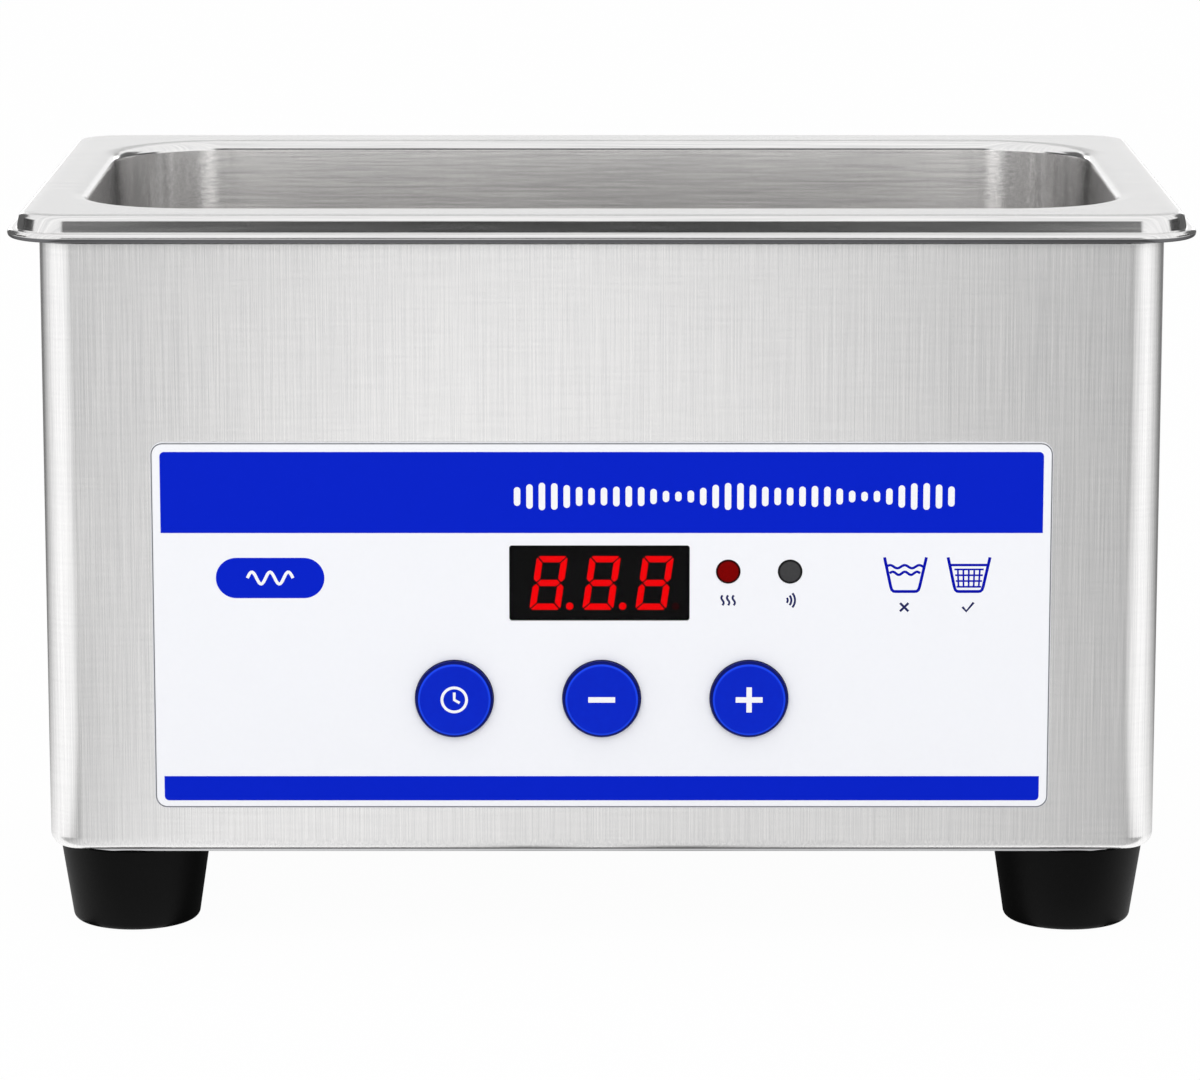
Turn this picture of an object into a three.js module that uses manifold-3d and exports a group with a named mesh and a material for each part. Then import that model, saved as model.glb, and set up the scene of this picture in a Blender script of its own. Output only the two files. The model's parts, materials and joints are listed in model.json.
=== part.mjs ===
// Bench-top ultrasonic cleaner for jewellery. Millimetres, +Z up.
// The origin is on the floor, under the middle of the rim. The control panel faces -Y.

import * as THREE from 'three';
import { mergeVertices } from 'three/addons/utils/BufferGeometryUtils.js';
import Module from 'manifold-3d';

const wasm = await Module();
wasm.setup();

// ---------------------------------------------------------------- driving sizes

// Clearances shared by every fit
const seat = 0.05; // between two flat faces that rest on each other
const slip = 0.3; // round a part that sits or slides in a hole
const screwSlip = 0.35; // round a screw's shank
const overrun = 1; // a cutter passes what it cuts, and a joined piece enters its neighbour, by this much

// Tank: one deep-drawn pan. Its plan follows the housing's.
const sheet = 0.8;
const bathMarginX = 6.3; // from the housing's outside to the bath's wall, just below its rounded mouth
const bathMarginY = 9.8;
const bathCorner = 18.2;
const bathDraft = 1.5; // each wall leans in by this much at the floor
const floorRadius = 9;
const mouthRadius = 2.8;
const rimOverhang = 3.8; // from the housing's outside to the step of the raised flat
const rimCorner = 9;
const rimEdgeRadius = 1.2;
const stepHeight = 3;
const lipReach = 1.7; // the hemmed lip stands out past the step by this much
const lipWebInset = 0.5; // the hem's folded end stops this far outside the step's inner face

// Housing: folded stainless shell
const bodyLength = 199;
const bodyWidth = 117;
const bodyHeight = 111.1;
const bodyCorner = 6.5;
const bodyWall = 1;
const bodyBend = 1.6;
const baseFlange = 14;
const baseOpeningCorner = 36; // leaves a broad gusset for each foot

// Gasket between the rim and the housing
const gasketHeight = 3.5;
const gasketWidth = 2.2;

// Base plate and feet
const baseThickness = 1;
const baseInset = 4.5;
const footHeight = 15.4;
const footTopRadius = 13.7;
const footBottomRadius = 11.6;
const footEdgeRadius = 1.3;
const footMarginX = 14.3; // from the housing's outside to the foot's middle
const footMarginY = 18;
const footRecessRadius = 5.4;
const footRecessDepth = 6;
const footScrewRadius = 2;
const footScrewHeadRadius = 4.2;
const footScrewHeadHeight = 2.6;
const footScrewHeadChamfer = 1;
const footScrewTail = 4; // thread past the housing's flange
const ventSlotWidth = 3;
const ventSlotLength = 34;
const ventPitch = 6.5;
const ventCount = 8;
const baseVentMargin = 55.5; // from the housing's right end to the middle slots

// Control panel: printed plate on the front wall. Its own places are measured
// from the middle of its bottom edge.
const panelLength = 160;
const panelHeight = 66.5;
const panelThickness = 0.6;
const panelCorner = 2.2;
const panelAboveBase = 8.3; // from the housing's bottom edge
const displayX = -0.4;
const displayUp = 41.1;
const windowLength = 32.1;
const windowHeight = 13.7;
const lensThickness = 0.5;
const displayDepth = 7.2;
const ledUp = 43.2;
const heatingLedX = 22.5;
const ultrasonicLedX = 33.5;
const ledRadius = 2.05;
const ledBodyLength = 5.2;
const ledProud = 0.25;
const ledFlange = 0.45;
const ledFlangeThickness = 1;
const ledLegWidth = 0.6;
const ledLegPitch = 2.54;

// Buttons: a row of three caps, each over its own switch
const buttonUp = 20.1;
const buttonPitch = 26.3;
const buttonRadius = 6.95;
const buttonProud = 1.5;
const buttonRimWidth = 1.5;
const buttonRimSweep = 120; // degrees of rounding, over the rim and into the dish
const buttonDish = 0.35;
const buttonFlangeReach = 1.3;
const buttonFlangeThickness = 1;
const buttonRest = 0.15; // the cap's flange lies this far behind the wall
const buttonStemRadius = 2;
const buttonStemLength = 0.45;
const buttonTravel = 0.5; // the joints' range
const switchSide = 12;
const switchHeight = 3.5;
const plungerRadius = 1.75;
const plungerInside = 1.9; // the length of it inside the switch at rest

// Control board, its studs and nuts
const boardLength = 88;
const boardHeight = 42;
const boardThickness = 1.6;
const boardUp = 30.2;
const studInset = 4;
const studRadius = 1.5;
const studCollarRadius = 2.8;
const studTail = 3.4;
const nutAcrossFlats = 5.5;
const nutHeight = 2.4;

// Transducer under the tank
const frontMassHeight = 20;
const frontMassTopRadius = 21;
const frontMassBottomRadius = 17.5;
const frontMassLand = 6;
const piezoRadius = 17.5;
const piezoBore = 7.5;
const piezoHeight = 5;
const electrodeThickness = 0.5;
const electrodeTabLength = 7;
const electrodeTabWidth = 5;
const backMassHeight = 15;
const boltRadius = 4;
const boltHeadRadius = 6.5;
const boltHeadHeight = 8;
const boltSocketRadius = 3.4;
const boltSocketDepth = 4;
const boltBite = 12; // thread inside the front mass
const boltRunout = 1; // the tapped hole goes deeper by this much
const boltClearance = 4.4; // from its head to the base plate

// Heater pad and thermostat under the tank
const heaterWidth = 70;
const heaterThickness = 1.5;
const heaterCorner = 5;
const heaterGap = 1; // to the transducer
const heaterMargin = 0.7; // in from the flat floor's right end
const thermostatMargin = 20.7; // in from its left end
const thermostatRadius = 8;
const thermostatHeight = 9;
const thermostatBracket = 24;
const thermostatBracketWidth = 7;
const thermostatBracketThickness = 1;

// Generator board on the base plate
const generatorClearance = 2; // from the base opening's edge to the nearest standoff
const generatorLength = 52;
const generatorWidth = 56;
const standoffHeight = 6;
const standoffRadius = 3;
const standoffPinRadius = 1.4;
const standoffBarb = 0.6;
const standoffInset = 4;
const coreX = -12;
const coreY = -12;
const coreLength = 28;
const coreWidth = 12;
const coreHeight = 22;
const coreLimb = 4;
const sinkX = 14;
const sinkLength = 40;
const sinkHeight = 30;
const sinkBack = 2.5;
const finCount = 7;
const finThickness = 1.4;
const finReach = 8;
const transistorWidth = 10;
const transistorHeight = 15;
const transistorThickness = 4.5;
const transistorTab = 6.5;
const transistorTabThickness = 1.3;
const transistorLegs = 4;
const transistorLegWidth = 1;
const transistorLegPitch = 2.54;
const capacitorX = -13;
const capacitorY = 14;
const capacitorRadius = 8;
const capacitorHeight = 28;
const capacitorGroove = 0.8;

// Rear wall: mains inlet, rocker switch and vents, all centred at one height
const rearUp = 30; // from the housing's bottom edge
const inletMargin = 37.5; // from the housing's right end to the inlet's middle
const inletFlangeLength = 48;
const inletFlangeHeight = 22;
const inletFlangeCorner = 4;
const inletFlangeThickness = 2.6;
const inletBodyLength = 28;
const inletBodyHeight = 20;
const inletBodyDepth = 20;
const inletChamfer = 4.5;
const inletSocketLength = 24;
const inletSocketHeight = 16;
const inletSocketDepth = 17;
const inletPinLength = 12;
const inletPinWidth = 2;
const inletPinHeight = 4;
const inletPinPitch = 7;
const inletPinDrop = 2;
const inletScrewPitch = 40;
const inletScrewRadius = 1.5;
const inletScrewHeadRadius = 2.9;
const inletScrewHeadHeight = 1.6;
const inletScrewLength = 8;
const inletTagLength = 7; // solder tags of the inlet and of the rocker switch
const tagThickness = 1;
const rockerFromInlet = 40;
const rockerBezelLength = 15;
const rockerBezelHeight = 21;
const rockerBezelCorner = 1.5;
const rockerBezelThickness = 2;
const rockerBodyLength = 13;
const rockerBodyHeight = 19;
const rockerBodyDepth = 13;
const rockerRadius = 7.8; // swept by its two ends about the pivot
const rockerWidth = 8.8;
const rockerTilt = 9; // degrees each way, so it travels twice this
const rockerCrown = 1.9; // the middle of its face, out from the pivot
const rockerBelly = 4.5;
const rockerPivotZ = 0.5; // out from the wall's face
const rockerPivotRadius = 1;
const rockerPivotLength = 0.9;
const rearVentMargin = 47.5; // from the housing's left end to the middle slots
const rearVentLength = 22;

// Facets
const cornerSteps = 6;
const ringSegments = 24; // round parts that show
const hiddenSegments = 18; // round parts inside
const smallSegments = 12;

// ---------------------------------------------------------------- worked-out sizes

const bathLength = bodyLength - 2 * bathMarginX;
const bathWidth = bodyWidth - 2 * bathMarginY;
const rimLength = bodyLength + 2 * rimOverhang;
const rimWidth = bodyWidth + 2 * rimOverhang;
const inletX = bodyLength / 2 - inletMargin;
const rockerX = inletX - rockerFromInlet;
const rearVentX = rearVentMargin - bodyLength / 2;
const baseVentX = bodyLength / 2 - baseVentMargin;
const floorEnd = bathLength / 2 - bathDraft - floorRadius; // where the flat floor starts to turn up
const baseTop = footHeight + seat + baseThickness;
const bodyBottom = baseTop + seat;
const bodyTop = bodyBottom + bodyHeight;
const rimTop = bodyTop + seat + gasketHeight + seat + sheet;
const clampedHeight = 2 * piezoHeight + 2 * electrodeThickness + backMassHeight + 5 * seat;
const stackHeight = seat + frontMassHeight + seat + clampedHeight + boltHeadHeight;
const tankUnderside = baseTop + boltClearance + stackHeight; // the transducer sets how deep the bath is
const generatorTop = baseTop + seat + standoffHeight + seat + boardThickness;
const boardFace = -(displayDepth + seat); // the control board's front, behind the front wall's face
const buttonHole = buttonRadius + slip;
const standoffX = generatorLength / 2 - standoffInset; // from the generator board's middle
const standoffY = generatorWidth / 2 - standoffInset;
const ledHole = ledRadius + slip / 2;

// ---------------------------------------------------------------- materials

const metal = (color, roughness) => new THREE.MeshStandardMaterial({ color, roughness, metalness: 1 });
const plain = (color, roughness) => new THREE.MeshStandardMaterial({ color, roughness, metalness: 0 });

const brushedSteel = () => metal(0xd4d4d4, 0.32);
const darkSteel = () => metal(0x9a9ca0, 0.4);
const aluminium = () => metal(0xc8cacc, 0.45);
const brass = () => metal(0xc9a24e, 0.35);
const blackRubber = () => plain(0x141414, 0.75);
const siliconeRubber = () => plain(0x3a3a3c, 0.8);
const panelWhite = () => plain(0xf7f8fc, 0.45);
const buttonBlue = () => plain(0x0829cb, 0.35);
const blackPlastic = () => plain(0x101012, 0.4);
const tintedLens = () => plain(0x0a0a0a, 0.08);
const redLed = () => plain(0x780404, 0.2);
const greyLed = () => plain(0x4b4b4d, 0.25);
const boardGreen = () => plain(0x1f6b3a, 0.5);
const ceramic = () => plain(0xb9b2a4, 0.55);
const heaterOrange = () => plain(0xc8602a, 0.7);
const nylon = () => plain(0xe8e6de, 0.5);
const ferrite = () => plain(0x2b2c2f, 0.7);
const coilTape = () => plain(0xe2c341, 0.5);
const capacitorSleeve = () => plain(0x1b2a55, 0.35);

// ---------------------------------------------------------------- solids

// A closed mesh as a solid that can be cut and joined.
function toSolid(geometry) {
  const bare = geometry.clone();
  bare.deleteAttribute('normal');
  bare.deleteAttribute('uv');
  const merged = mergeVertices(bare, 1e-4);
  const corners = merged.index.array;
  const kept = [];
  for (let i = 0; i < corners.length; i += 3) {
    const [a, b, c] = corners.slice(i, i + 3);
    if (a !== b && b !== c && c !== a) kept.push(a, b, c);
  }
  const vertProperties = merged.attributes.position.array;
  return new wasm.Manifold(new wasm.Mesh({ numProp: 3, vertProperties, triVerts: new Uint32Array(kept) }));
}

function toGeometry(solid) {
  const { vertProperties, triVerts } = solid.getMesh();
  const geometry = new THREE.BufferGeometry();
  geometry.setAttribute('position', new THREE.BufferAttribute(vertProperties, 3));
  geometry.setIndex(new THREE.BufferAttribute(triVerts, 1));
  geometry.computeVertexNormals();
  return geometry;
}

function cut(geometry, ...tools) {
  return toGeometry(tools.reduce((rest, tool) => rest.subtract(toSolid(tool)), toSolid(geometry)));
}

function join(geometry, ...others) {
  return toGeometry(others.reduce((whole, other) => whole.add(toSolid(other)), toSolid(geometry)));
}

// A rounded rectangle centred on (x, y), as a path or a shape.
function roundedRect(path, length, width, radius, x = 0, y = 0) {
  const alongX = length / 2 - radius;
  const alongY = width / 2 - radius;
  path.absarc(x + alongX, y + alongY, radius, 0, Math.PI / 2);
  path.absarc(x - alongX, y + alongY, radius, Math.PI / 2, Math.PI);
  path.absarc(x - alongX, y - alongY, radius, Math.PI, 1.5 * Math.PI);
  path.absarc(x + alongX, y - alongY, radius, 1.5 * Math.PI, 2 * Math.PI);
  path.closePath();
  return path;
}

function rectangle(length, width, x = 0, y = 0) {
  const points = [[-1, -1], [1, -1], [1, 1], [-1, 1]];
  return new THREE.Shape(points.map(([a, b]) => new THREE.Vector2(x + a * length / 2, y + b * width / 2)));
}

function circle(path, radius, x = 0, y = 0) {
  return roundedRect(path, 2 * radius, 2 * radius, radius, x, y);
}

// An outline given depth, from z = bottom upwards. Each quarter circle in it gets quarterSteps facets.
function slab(shape, depth, bottom = 0, quarterSteps = 4) {
  const curveSegments = quarterSteps / 2;
  const geometry = new THREE.ExtrudeGeometry(shape, { depth, bevelEnabled: false, curveSegments });
  return geometry.translate(0, 0, bottom);
}

function rod(radius, length, bottom = 0, segments = smallSegments) {
  const geometry = new THREE.CylinderGeometry(radius, radius, length, segments);
  return geometry.rotateX(Math.PI / 2).translate(0, 0, bottom + length / 2);
}

// A profile of [radius, z] turned about the z axis.
function turned(profile, segments = ringSegments) {
  const points = profile.map(([radius, z]) => new THREE.Vector2(radius, z));
  return new THREE.LatheGeometry(points, segments).rotateX(Math.PI / 2);
}

// A turned ring: its section is a rectangle.
function collar(outer, inner, height, segments = hiddenSegments) {
  return turned([[inner, 0], [outer, 0], [outer, height], [inner, height], [inner, 0]], segments);
}

// Points of a round in a section: [offset, z] from one angle to another, in degrees.
function round(offset, z, radius, from, to, steps) {
  return Array.from({ length: steps + 1 }, (_, i) => {
    const angle = THREE.MathUtils.degToRad(from + (to - from) * i / steps);
    return [offset + radius * Math.cos(angle), z + radius * Math.sin(angle)];
  });
}

// A family of rounded-rectangle rings that share their corners' centres.
// The result turns a section's [offset, z] points into rings.
function ringFamily(length, width, corner) {
  return (points) => points.map(([offset, z]) => ({
    alongX: length / 2 - corner,
    alongY: width / 2 - corner,
    radius: corner + offset,
    z,
  }));
}

// Joins rings of equal point counts into one surface. Closed rings make a frame,
// and open ones get a flat cap at each end.
function loft(rings, closed = false) {
  const perCorner = cornerSteps + 1;
  const count = 4 * perCorner;
  const positions = [];
  for (const { alongX, alongY, radius, z } of rings) {
    for (let i = 0; i < count; i++) {
      const corner = Math.floor(i / perCorner);
      const angle = (corner + (i % perCorner) / cornerSteps) * Math.PI / 2;
      const sideX = corner === 0 || corner === 3 ? 1 : -1;
      const sideY = corner < 2 ? 1 : -1;
      positions.push(sideX * alongX + radius * Math.cos(angle), sideY * alongY + radius * Math.sin(angle), z);
    }
  }
  const index = [];
  const spans = closed ? rings.length : rings.length - 1;
  for (let ring = 0; ring < spans; ring++) {
    const next = (ring + 1) % rings.length;
    for (let i = 0; i < count; i++) {
      const j = (i + 1) % count;
      const [a, b, c, d] = [ring * count + i, ring * count + j, next * count + j, next * count + i];
      index.push(a, b, c, a, c, d);
    }
  }
  if (!closed) {
    for (const [ring, facesUp] of [[0, false], [rings.length - 1, true]]) {
      const middle = positions.length / 3;
      positions.push(0, 0, rings[ring].z);
      for (let i = 0; i < count; i++) {
        const a = ring * count + i;
        const b = ring * count + (i + 1) % count;
        index.push(middle, ...(facesUp ? [a, b] : [b, a]));
      }
    }
  }
  const geometry = new THREE.BufferGeometry();
  geometry.setAttribute('position', new THREE.Float32BufferAttribute(positions, 3));
  geometry.setIndex(index);
  geometry.computeVertexNormals();
  return geometry;
}

// ---------------------------------------------------------------- frames

const cleaner = new THREE.Group();
cleaner.name = 'ultrasonic_cleaner';

// On the front wall's outer face, at the middle of the panel's bottom edge: y up, z towards the user.
const front = new THREE.Group();
front.position.set(0, -bodyWidth / 2, bodyBottom + panelAboveBase);
front.rotation.x = Math.PI / 2;

// On the rear wall's outer face: y up, z out of the wall, x as seen from behind.
const rear = new THREE.Group();
rear.position.set(0, bodyWidth / 2, bodyBottom + rearUp);
rear.rotation.set(Math.PI / 2, Math.PI, 0);

// On the tank's underside: z down.
const underTank = new THREE.Group();
underTank.position.z = tankUnderside;
underTank.rotation.x = Math.PI;

// On the generator board's top face, as far left as the base opening lets its standoffs go. The opening's
// rounded corners reach in beside them.
const standoffReachX = standoffX + standoffRadius;
const standoffReachY = standoffY + standoffRadius;
const intoCorner = Math.max(0, standoffReachY + baseOpeningCorner + baseFlange - bodyWidth / 2);
const cornerReach = baseOpeningCorner - Math.sqrt(baseOpeningCorner ** 2 - intoCorner ** 2);
const generatorX = baseFlange + cornerReach + generatorClearance + standoffReachX - bodyLength / 2;
const generator = new THREE.Group();
generator.position.set(generatorX, 0, generatorTop);

cleaner.add(front, rear, underTank, generator);

function add(parent, name, geometry, material, x = 0, y = 0, z = 0) {
  const mesh = new THREE.Mesh(geometry, material);
  mesh.name = name;
  mesh.position.set(x, y, z);
  parent.add(mesh);
  return mesh;
}

// An outline in the front's or the rear's frame as a cutter for that wall.
function throughWall(group, shape, quarterSteps) {
  group.updateMatrix();
  return slab(shape, bodyWall + 2 * overrun, -bodyWall - overrun, quarterSteps).applyMatrix4(group.matrix);
}

// ---------------------------------------------------------------- shared places

const corners = [['front_left', -1, -1], ['front_right', 1, -1], ['rear_left', -1, 1], ['rear_right', 1, 1]];
const footX = bodyLength / 2 - footMarginX;
const footY = bodyWidth / 2 - footMarginY;
const footPlaces = corners.map(([name, sx, sy]) => [name, sx * footX, sy * footY]);
const buttonPlaces = [['set', -buttonPitch], ['minus', 0], ['plus', buttonPitch]];
const ledPlaces = [['heating_led', heatingLedX, redLed], ['ultrasonic_led', ultrasonicLedX, greyLed]];
const studPlaces = corners.map(([name, sx, sy]) => [
  name.replace('front', 'lower').replace('rear', 'upper'),
  sx * (boardLength / 2 - studInset),
  boardUp + sy * (boardHeight / 2 - studInset),
]);
const standoffPlaces = corners.map(([name, sx, sy]) => [name, sx * standoffX, sy * standoffY]);
const ventOffsets = Array.from({ length: ventCount }, (_, i) => (i - (ventCount - 1) / 2) * ventPitch);

// ---------------------------------------------------------------- tank and gasket

// The section runs from the underside of the floor, up the outside, round the hemmed lip,
// over the rim and down into the bath.
function tank() {
  const bath = ringFamily(bathLength, bathWidth, bathCorner);
  const rim = ringFamily(rimLength, rimWidth, rimCorner);
  const floor = tankUnderside + sheet;
  const lipTop = rimTop - stepHeight;
  const hemRadius = sheet;
  const hemX = lipReach - hemRadius;
  const mouthX = mouthRadius;
  const mouthZ = rimTop - mouthRadius;
  const edgeX = -rimEdgeRadius;
  const edgeZ = rimTop - rimEdgeRadius;
  const floorX = -bathDraft - floorRadius;
  const floorZ = floor + floorRadius;
  return loft([
    ...bath(round(floorX, floorZ, floorRadius + sheet, -90, 0, 5)),
    ...bath(round(mouthX, mouthZ, mouthRadius - sheet, 180, 90, 4)),
    ...rim(round(edgeX, edgeZ, rimEdgeRadius - sheet, 90, 0, 1)),
    ...rim([[-sheet, lipTop - sheet], [-sheet + lipWebInset, lipTop - sheet]]),
    ...rim([[-sheet + lipWebInset, lipTop - 2 * sheet]]),
    ...rim(round(hemX, lipTop - hemRadius, hemRadius, -90, 90, 6)),
    ...rim([[0, lipTop]]),
    ...rim(round(edgeX, edgeZ, rimEdgeRadius, 0, 90, 3)),
    ...bath(round(mouthX, mouthZ, mouthRadius, 90, 180, 4)),
    ...bath(round(floorX, floorZ, floorRadius, 0, -90, 5)),
  ]);
}

// A square-section silicone ring round the bath's mouth, between the rim's flat and the housing.
function rimGasket() {
  const bath = ringFamily(bathLength, bathWidth, bathCorner);
  const inner = mouthRadius + slip;
  const outer = inner + gasketWidth;
  const low = bodyTop + seat;
  const high = low + gasketHeight;
  return loft(bath([[outer, low], [outer, high], [inner, high], [inner, low]]), true);
}

add(cleaner, 'tank', tank(), brushedSteel());
add(cleaner, 'rim_gasket', rimGasket(), siliconeRubber());

// ---------------------------------------------------------------- housing

// Walls with a folded flange at the top, pierced for the bath, and one at the bottom for the base plate.
function housingShell() {
  const outline = ringFamily(bodyLength, bodyWidth, bodyCorner);
  const bath = ringFamily(bathLength, bathWidth, bathCorner);
  const opening = ringFamily(bodyLength - 2 * baseFlange, bodyWidth - 2 * baseFlange, baseOpeningCorner);
  const bathHole = sheet + 4 * slip;
  const inner = bodyBend - bodyWall;
  const lowBend = bodyBottom + bodyBend;
  const highBend = bodyTop - bodyBend;
  return loft([
    ...opening([[0, bodyBottom]]),
    ...outline(round(-bodyBend, lowBend, bodyBend, -90, 0, 3)),
    ...outline(round(-bodyBend, highBend, bodyBend, 0, 90, 3)),
    ...bath([[bathHole, bodyTop], [bathHole, bodyTop - bodyWall]]),
    ...outline(round(-bodyBend, highBend, inner, 90, 0, 2)),
    ...outline(round(-bodyBend, lowBend, inner, 0, -90, 2)),
    ...opening([[0, bodyBottom + bodyWall]]),
  ], true);
}

function ventSlots(length) {
  return ventOffsets.map((x) => roundedRect(new THREE.Shape(), ventSlotWidth, length, ventSlotWidth / 2, x));
}

function housing() {
  const frontHoles = [
    throughWall(front, rectangle(windowLength + 3 * slip, windowHeight + 3 * slip, displayX, displayUp)),
    ...ledPlaces.map(([, x]) => throughWall(front, circle(new THREE.Shape(), ledHole, x, ledUp))),
    ...buttonPlaces.map(([, x]) => {
      return throughWall(front, circle(new THREE.Shape(), buttonHole, x, buttonUp), ringSegments / 4);
    }),
  ];
  const rearHoles = [
    throughWall(rear, rectangle(inletBodyLength + 2 * slip, inletBodyHeight + 2 * slip, -inletX)),
    throughWall(rear, rectangle(rockerBodyLength + 2 * slip, rockerBodyHeight + 2 * slip, -rockerX)),
    ...[-1, 1].map((side) => {
      const x = -inletX + side * inletScrewPitch / 2;
      return throughWall(rear, circle(new THREE.Shape(), inletScrewRadius + screwSlip, x));
    }),
    ...ventSlots(rearVentLength).map((slot) => throughWall(rear, slot, 2).translate(rearVentX, 0, 0)),
  ];
  const footHoles = footPlaces.map(([, x, y]) => {
    return rod(footScrewRadius + screwSlip, bodyWall + 2 * overrun, bodyBottom - overrun).translate(x, y, 0);
  });
  return cut(housingShell(), ...frontHoles, ...rearHoles, ...footHoles);
}

add(cleaner, 'housing', housing(), brushedSteel());

// ---------------------------------------------------------------- base plate and feet

function basePlate() {
  const length = bodyLength - 2 * baseInset;
  const width = bodyWidth - 2 * baseInset;
  const plate = roundedRect(new THREE.Shape(), length, width, bodyCorner);
  const hole = (radius, x, y) => circle(new THREE.Path(), radius, x, y);
  plate.holes.push(
    ...footPlaces.map(([, x, y]) => hole(footScrewRadius + screwSlip, x, y)),
    ...standoffPlaces.map(([, x, y]) => hole(standoffPinRadius + slip, generatorX + x, y)),
    ...ventOffsets.map((x) => {
      return roundedRect(new THREE.Path(), ventSlotWidth, ventSlotLength, ventSlotWidth / 2, baseVentX + x);
    }),
  );
  return slab(plate, baseThickness, baseTop - baseThickness, 2);
}

// A tapered rubber foot with a deep recess for its screw.
function foot() {
  const bore = footScrewRadius + screwSlip;
  const edgeX = footBottomRadius - footEdgeRadius;
  return turned([
    [bore, footRecessDepth],
    [footRecessRadius, footRecessDepth],
    [footRecessRadius, 0],
    ...round(edgeX, footEdgeRadius, footEdgeRadius, -90, 0, 3),
    [footTopRadius, footHeight - footEdgeRadius / 2],
    [footTopRadius - footEdgeRadius / 2, footHeight],
    [bore, footHeight],
    [bore, footRecessDepth],
  ]);
}

function footScrew() {
  const shoulder = footRecessDepth - seat;
  const crown = shoulder - footScrewHeadHeight;
  return turned([
    [0, crown],
    [footScrewHeadRadius - footScrewHeadChamfer, crown],
    [footScrewHeadRadius, crown + footScrewHeadChamfer],
    [footScrewHeadRadius, shoulder],
    [footScrewRadius, shoulder],
    [footScrewRadius, bodyBottom + bodyWall + footScrewTail],
    [0, bodyBottom + bodyWall + footScrewTail],
  ], smallSegments);
}

add(cleaner, 'base_plate', basePlate(), darkSteel());
for (const [name, x, y] of footPlaces) {
  add(cleaner, `foot_${name}`, foot(), blackRubber(), x, y);
  add(cleaner, `foot_screw_${name}`, footScrew(), darkSteel(), x, y);
}

// ---------------------------------------------------------------- control panel

function controlPanel() {
  const plate = roundedRect(new THREE.Shape(), panelLength, panelHeight, panelCorner, 0, panelHeight / 2);
  plate.holes.push(
    rectangle(windowLength, windowHeight, displayX, displayUp),
    ...ledPlaces.map(([, x]) => circle(new THREE.Path(), ledHole, x, ledUp)),
    ...buttonPlaces.map(([, x]) => circle(new THREE.Path(), buttonHole, x, buttonUp)),
  );
  return slab(plate, panelThickness, seat, ringSegments / 4);
}

// A dome on a thin flange, with two legs down to the board.
function led() {
  const top = seat + panelThickness + ledProud;
  const bottom = top - ledBodyLength;
  const domeStart = top - ledRadius / 3;
  const body = turned([
    [0, bottom],
    [ledRadius + ledFlange, bottom],
    [ledRadius + ledFlange, bottom + ledFlangeThickness],
    [ledRadius, bottom + ledFlangeThickness],
    [ledRadius, domeStart],
    [ledRadius * 0.75, top - ledRadius / 10],
    [0, top],
  ], smallSegments);
  const legLength = bottom - boardFace;
  const legs = [-1, 1].map((side) => {
    const outline = rectangle(ledLegWidth, ledLegWidth, side * ledLegPitch / 2);
    return slab(outline, legLength, boardFace + seat);
  });
  return join(body, ...legs);
}

add(front, 'control_panel', controlPanel(), panelWhite());
const lensGap = slip / 2;
const lens = rectangle(windowLength - 2 * lensGap, windowHeight - 2 * lensGap);
add(front, 'display_lens', slab(lens, lensThickness, seat), tintedLens(), displayX, displayUp);
add(front, 'display_module', slab(lens, displayDepth, -displayDepth), blackPlastic(), displayX, displayUp);
for (const [name, x, material] of ledPlaces) {
  add(front, name, led(), material(), x, ledUp);
}

// ---------------------------------------------------------------- buttons and their switches

const buttonTop = seat + panelThickness + buttonProud;
const buttonFlangeTop = -bodyWall - buttonRest;
const buttonFlangeBottom = buttonFlangeTop - buttonFlangeThickness;
const stemEnd = buttonFlangeBottom - buttonStemLength;
const switchTop = boardFace + seat + switchHeight;
const plungerTop = stemEnd - seat;

// A cap with a raised rounded rim and a shallow dish, kept in by a flange behind the wall.
function buttonCap() {
  const flangeRadius = buttonHole + buttonFlangeReach - slip;
  const rim = buttonRimWidth / 2;
  return turned([
    [0, stemEnd],
    [buttonStemRadius, stemEnd],
    [buttonStemRadius, buttonFlangeBottom],
    [flangeRadius, buttonFlangeBottom],
    [flangeRadius, buttonFlangeTop],
    [buttonRadius, buttonFlangeTop],
    ...round(buttonRadius - rim, buttonTop - rim, rim, 0, buttonRimSweep, 4),
    [buttonRadius - buttonRimWidth - buttonDish, buttonTop - buttonDish],
    [0, buttonTop - buttonDish],
  ]);
}

function switchBody() {
  const body = slab(rectangle(switchSide, switchSide), switchHeight, boardFace + seat);
  const bore = rod(plungerRadius + slip, switchHeight, switchTop - plungerInside - buttonTravel - slip);
  return cut(body, bore);
}

for (const [name, x] of buttonPlaces) {
  add(front, `${name}_button`, buttonCap(), buttonBlue(), x, buttonUp);
  add(front, `${name}_switch`, switchBody(), darkSteel(), x, buttonUp);
  const plungerLength = plungerTop - switchTop + plungerInside;
  const plunger = rod(plungerRadius, plungerLength, switchTop - plungerInside);
  add(front, `${name}_plunger`, plunger, blackPlastic(), x, buttonUp);
}

// ---------------------------------------------------------------- control board

function controlBoard() {
  const board = rectangle(boardLength, boardHeight, 0, boardUp);
  board.holes.push(...studPlaces.map(([, x, y]) => circle(new THREE.Path(), studRadius + screwSlip, x, y)));
  return slab(board, boardThickness, boardFace - boardThickness, 2);
}

function boardStud() {
  const start = -bodyWall - seat;
  const shoulder = boardFace + seat;
  const end = boardFace - boardThickness - studTail;
  return turned([
    [0, end],
    [studRadius, end],
    [studRadius, shoulder],
    [studCollarRadius, shoulder],
    [studCollarRadius, start],
    [0, start],
  ], smallSegments);
}

function boardNut() {
  const bottom = boardFace - boardThickness - seat - nutHeight;
  const blank = rod(nutAcrossFlats / Math.sqrt(3), nutHeight, bottom, 6);
  return cut(blank, rod(studRadius + slip / 2, nutHeight + 2 * overrun, bottom - overrun));
}

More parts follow.
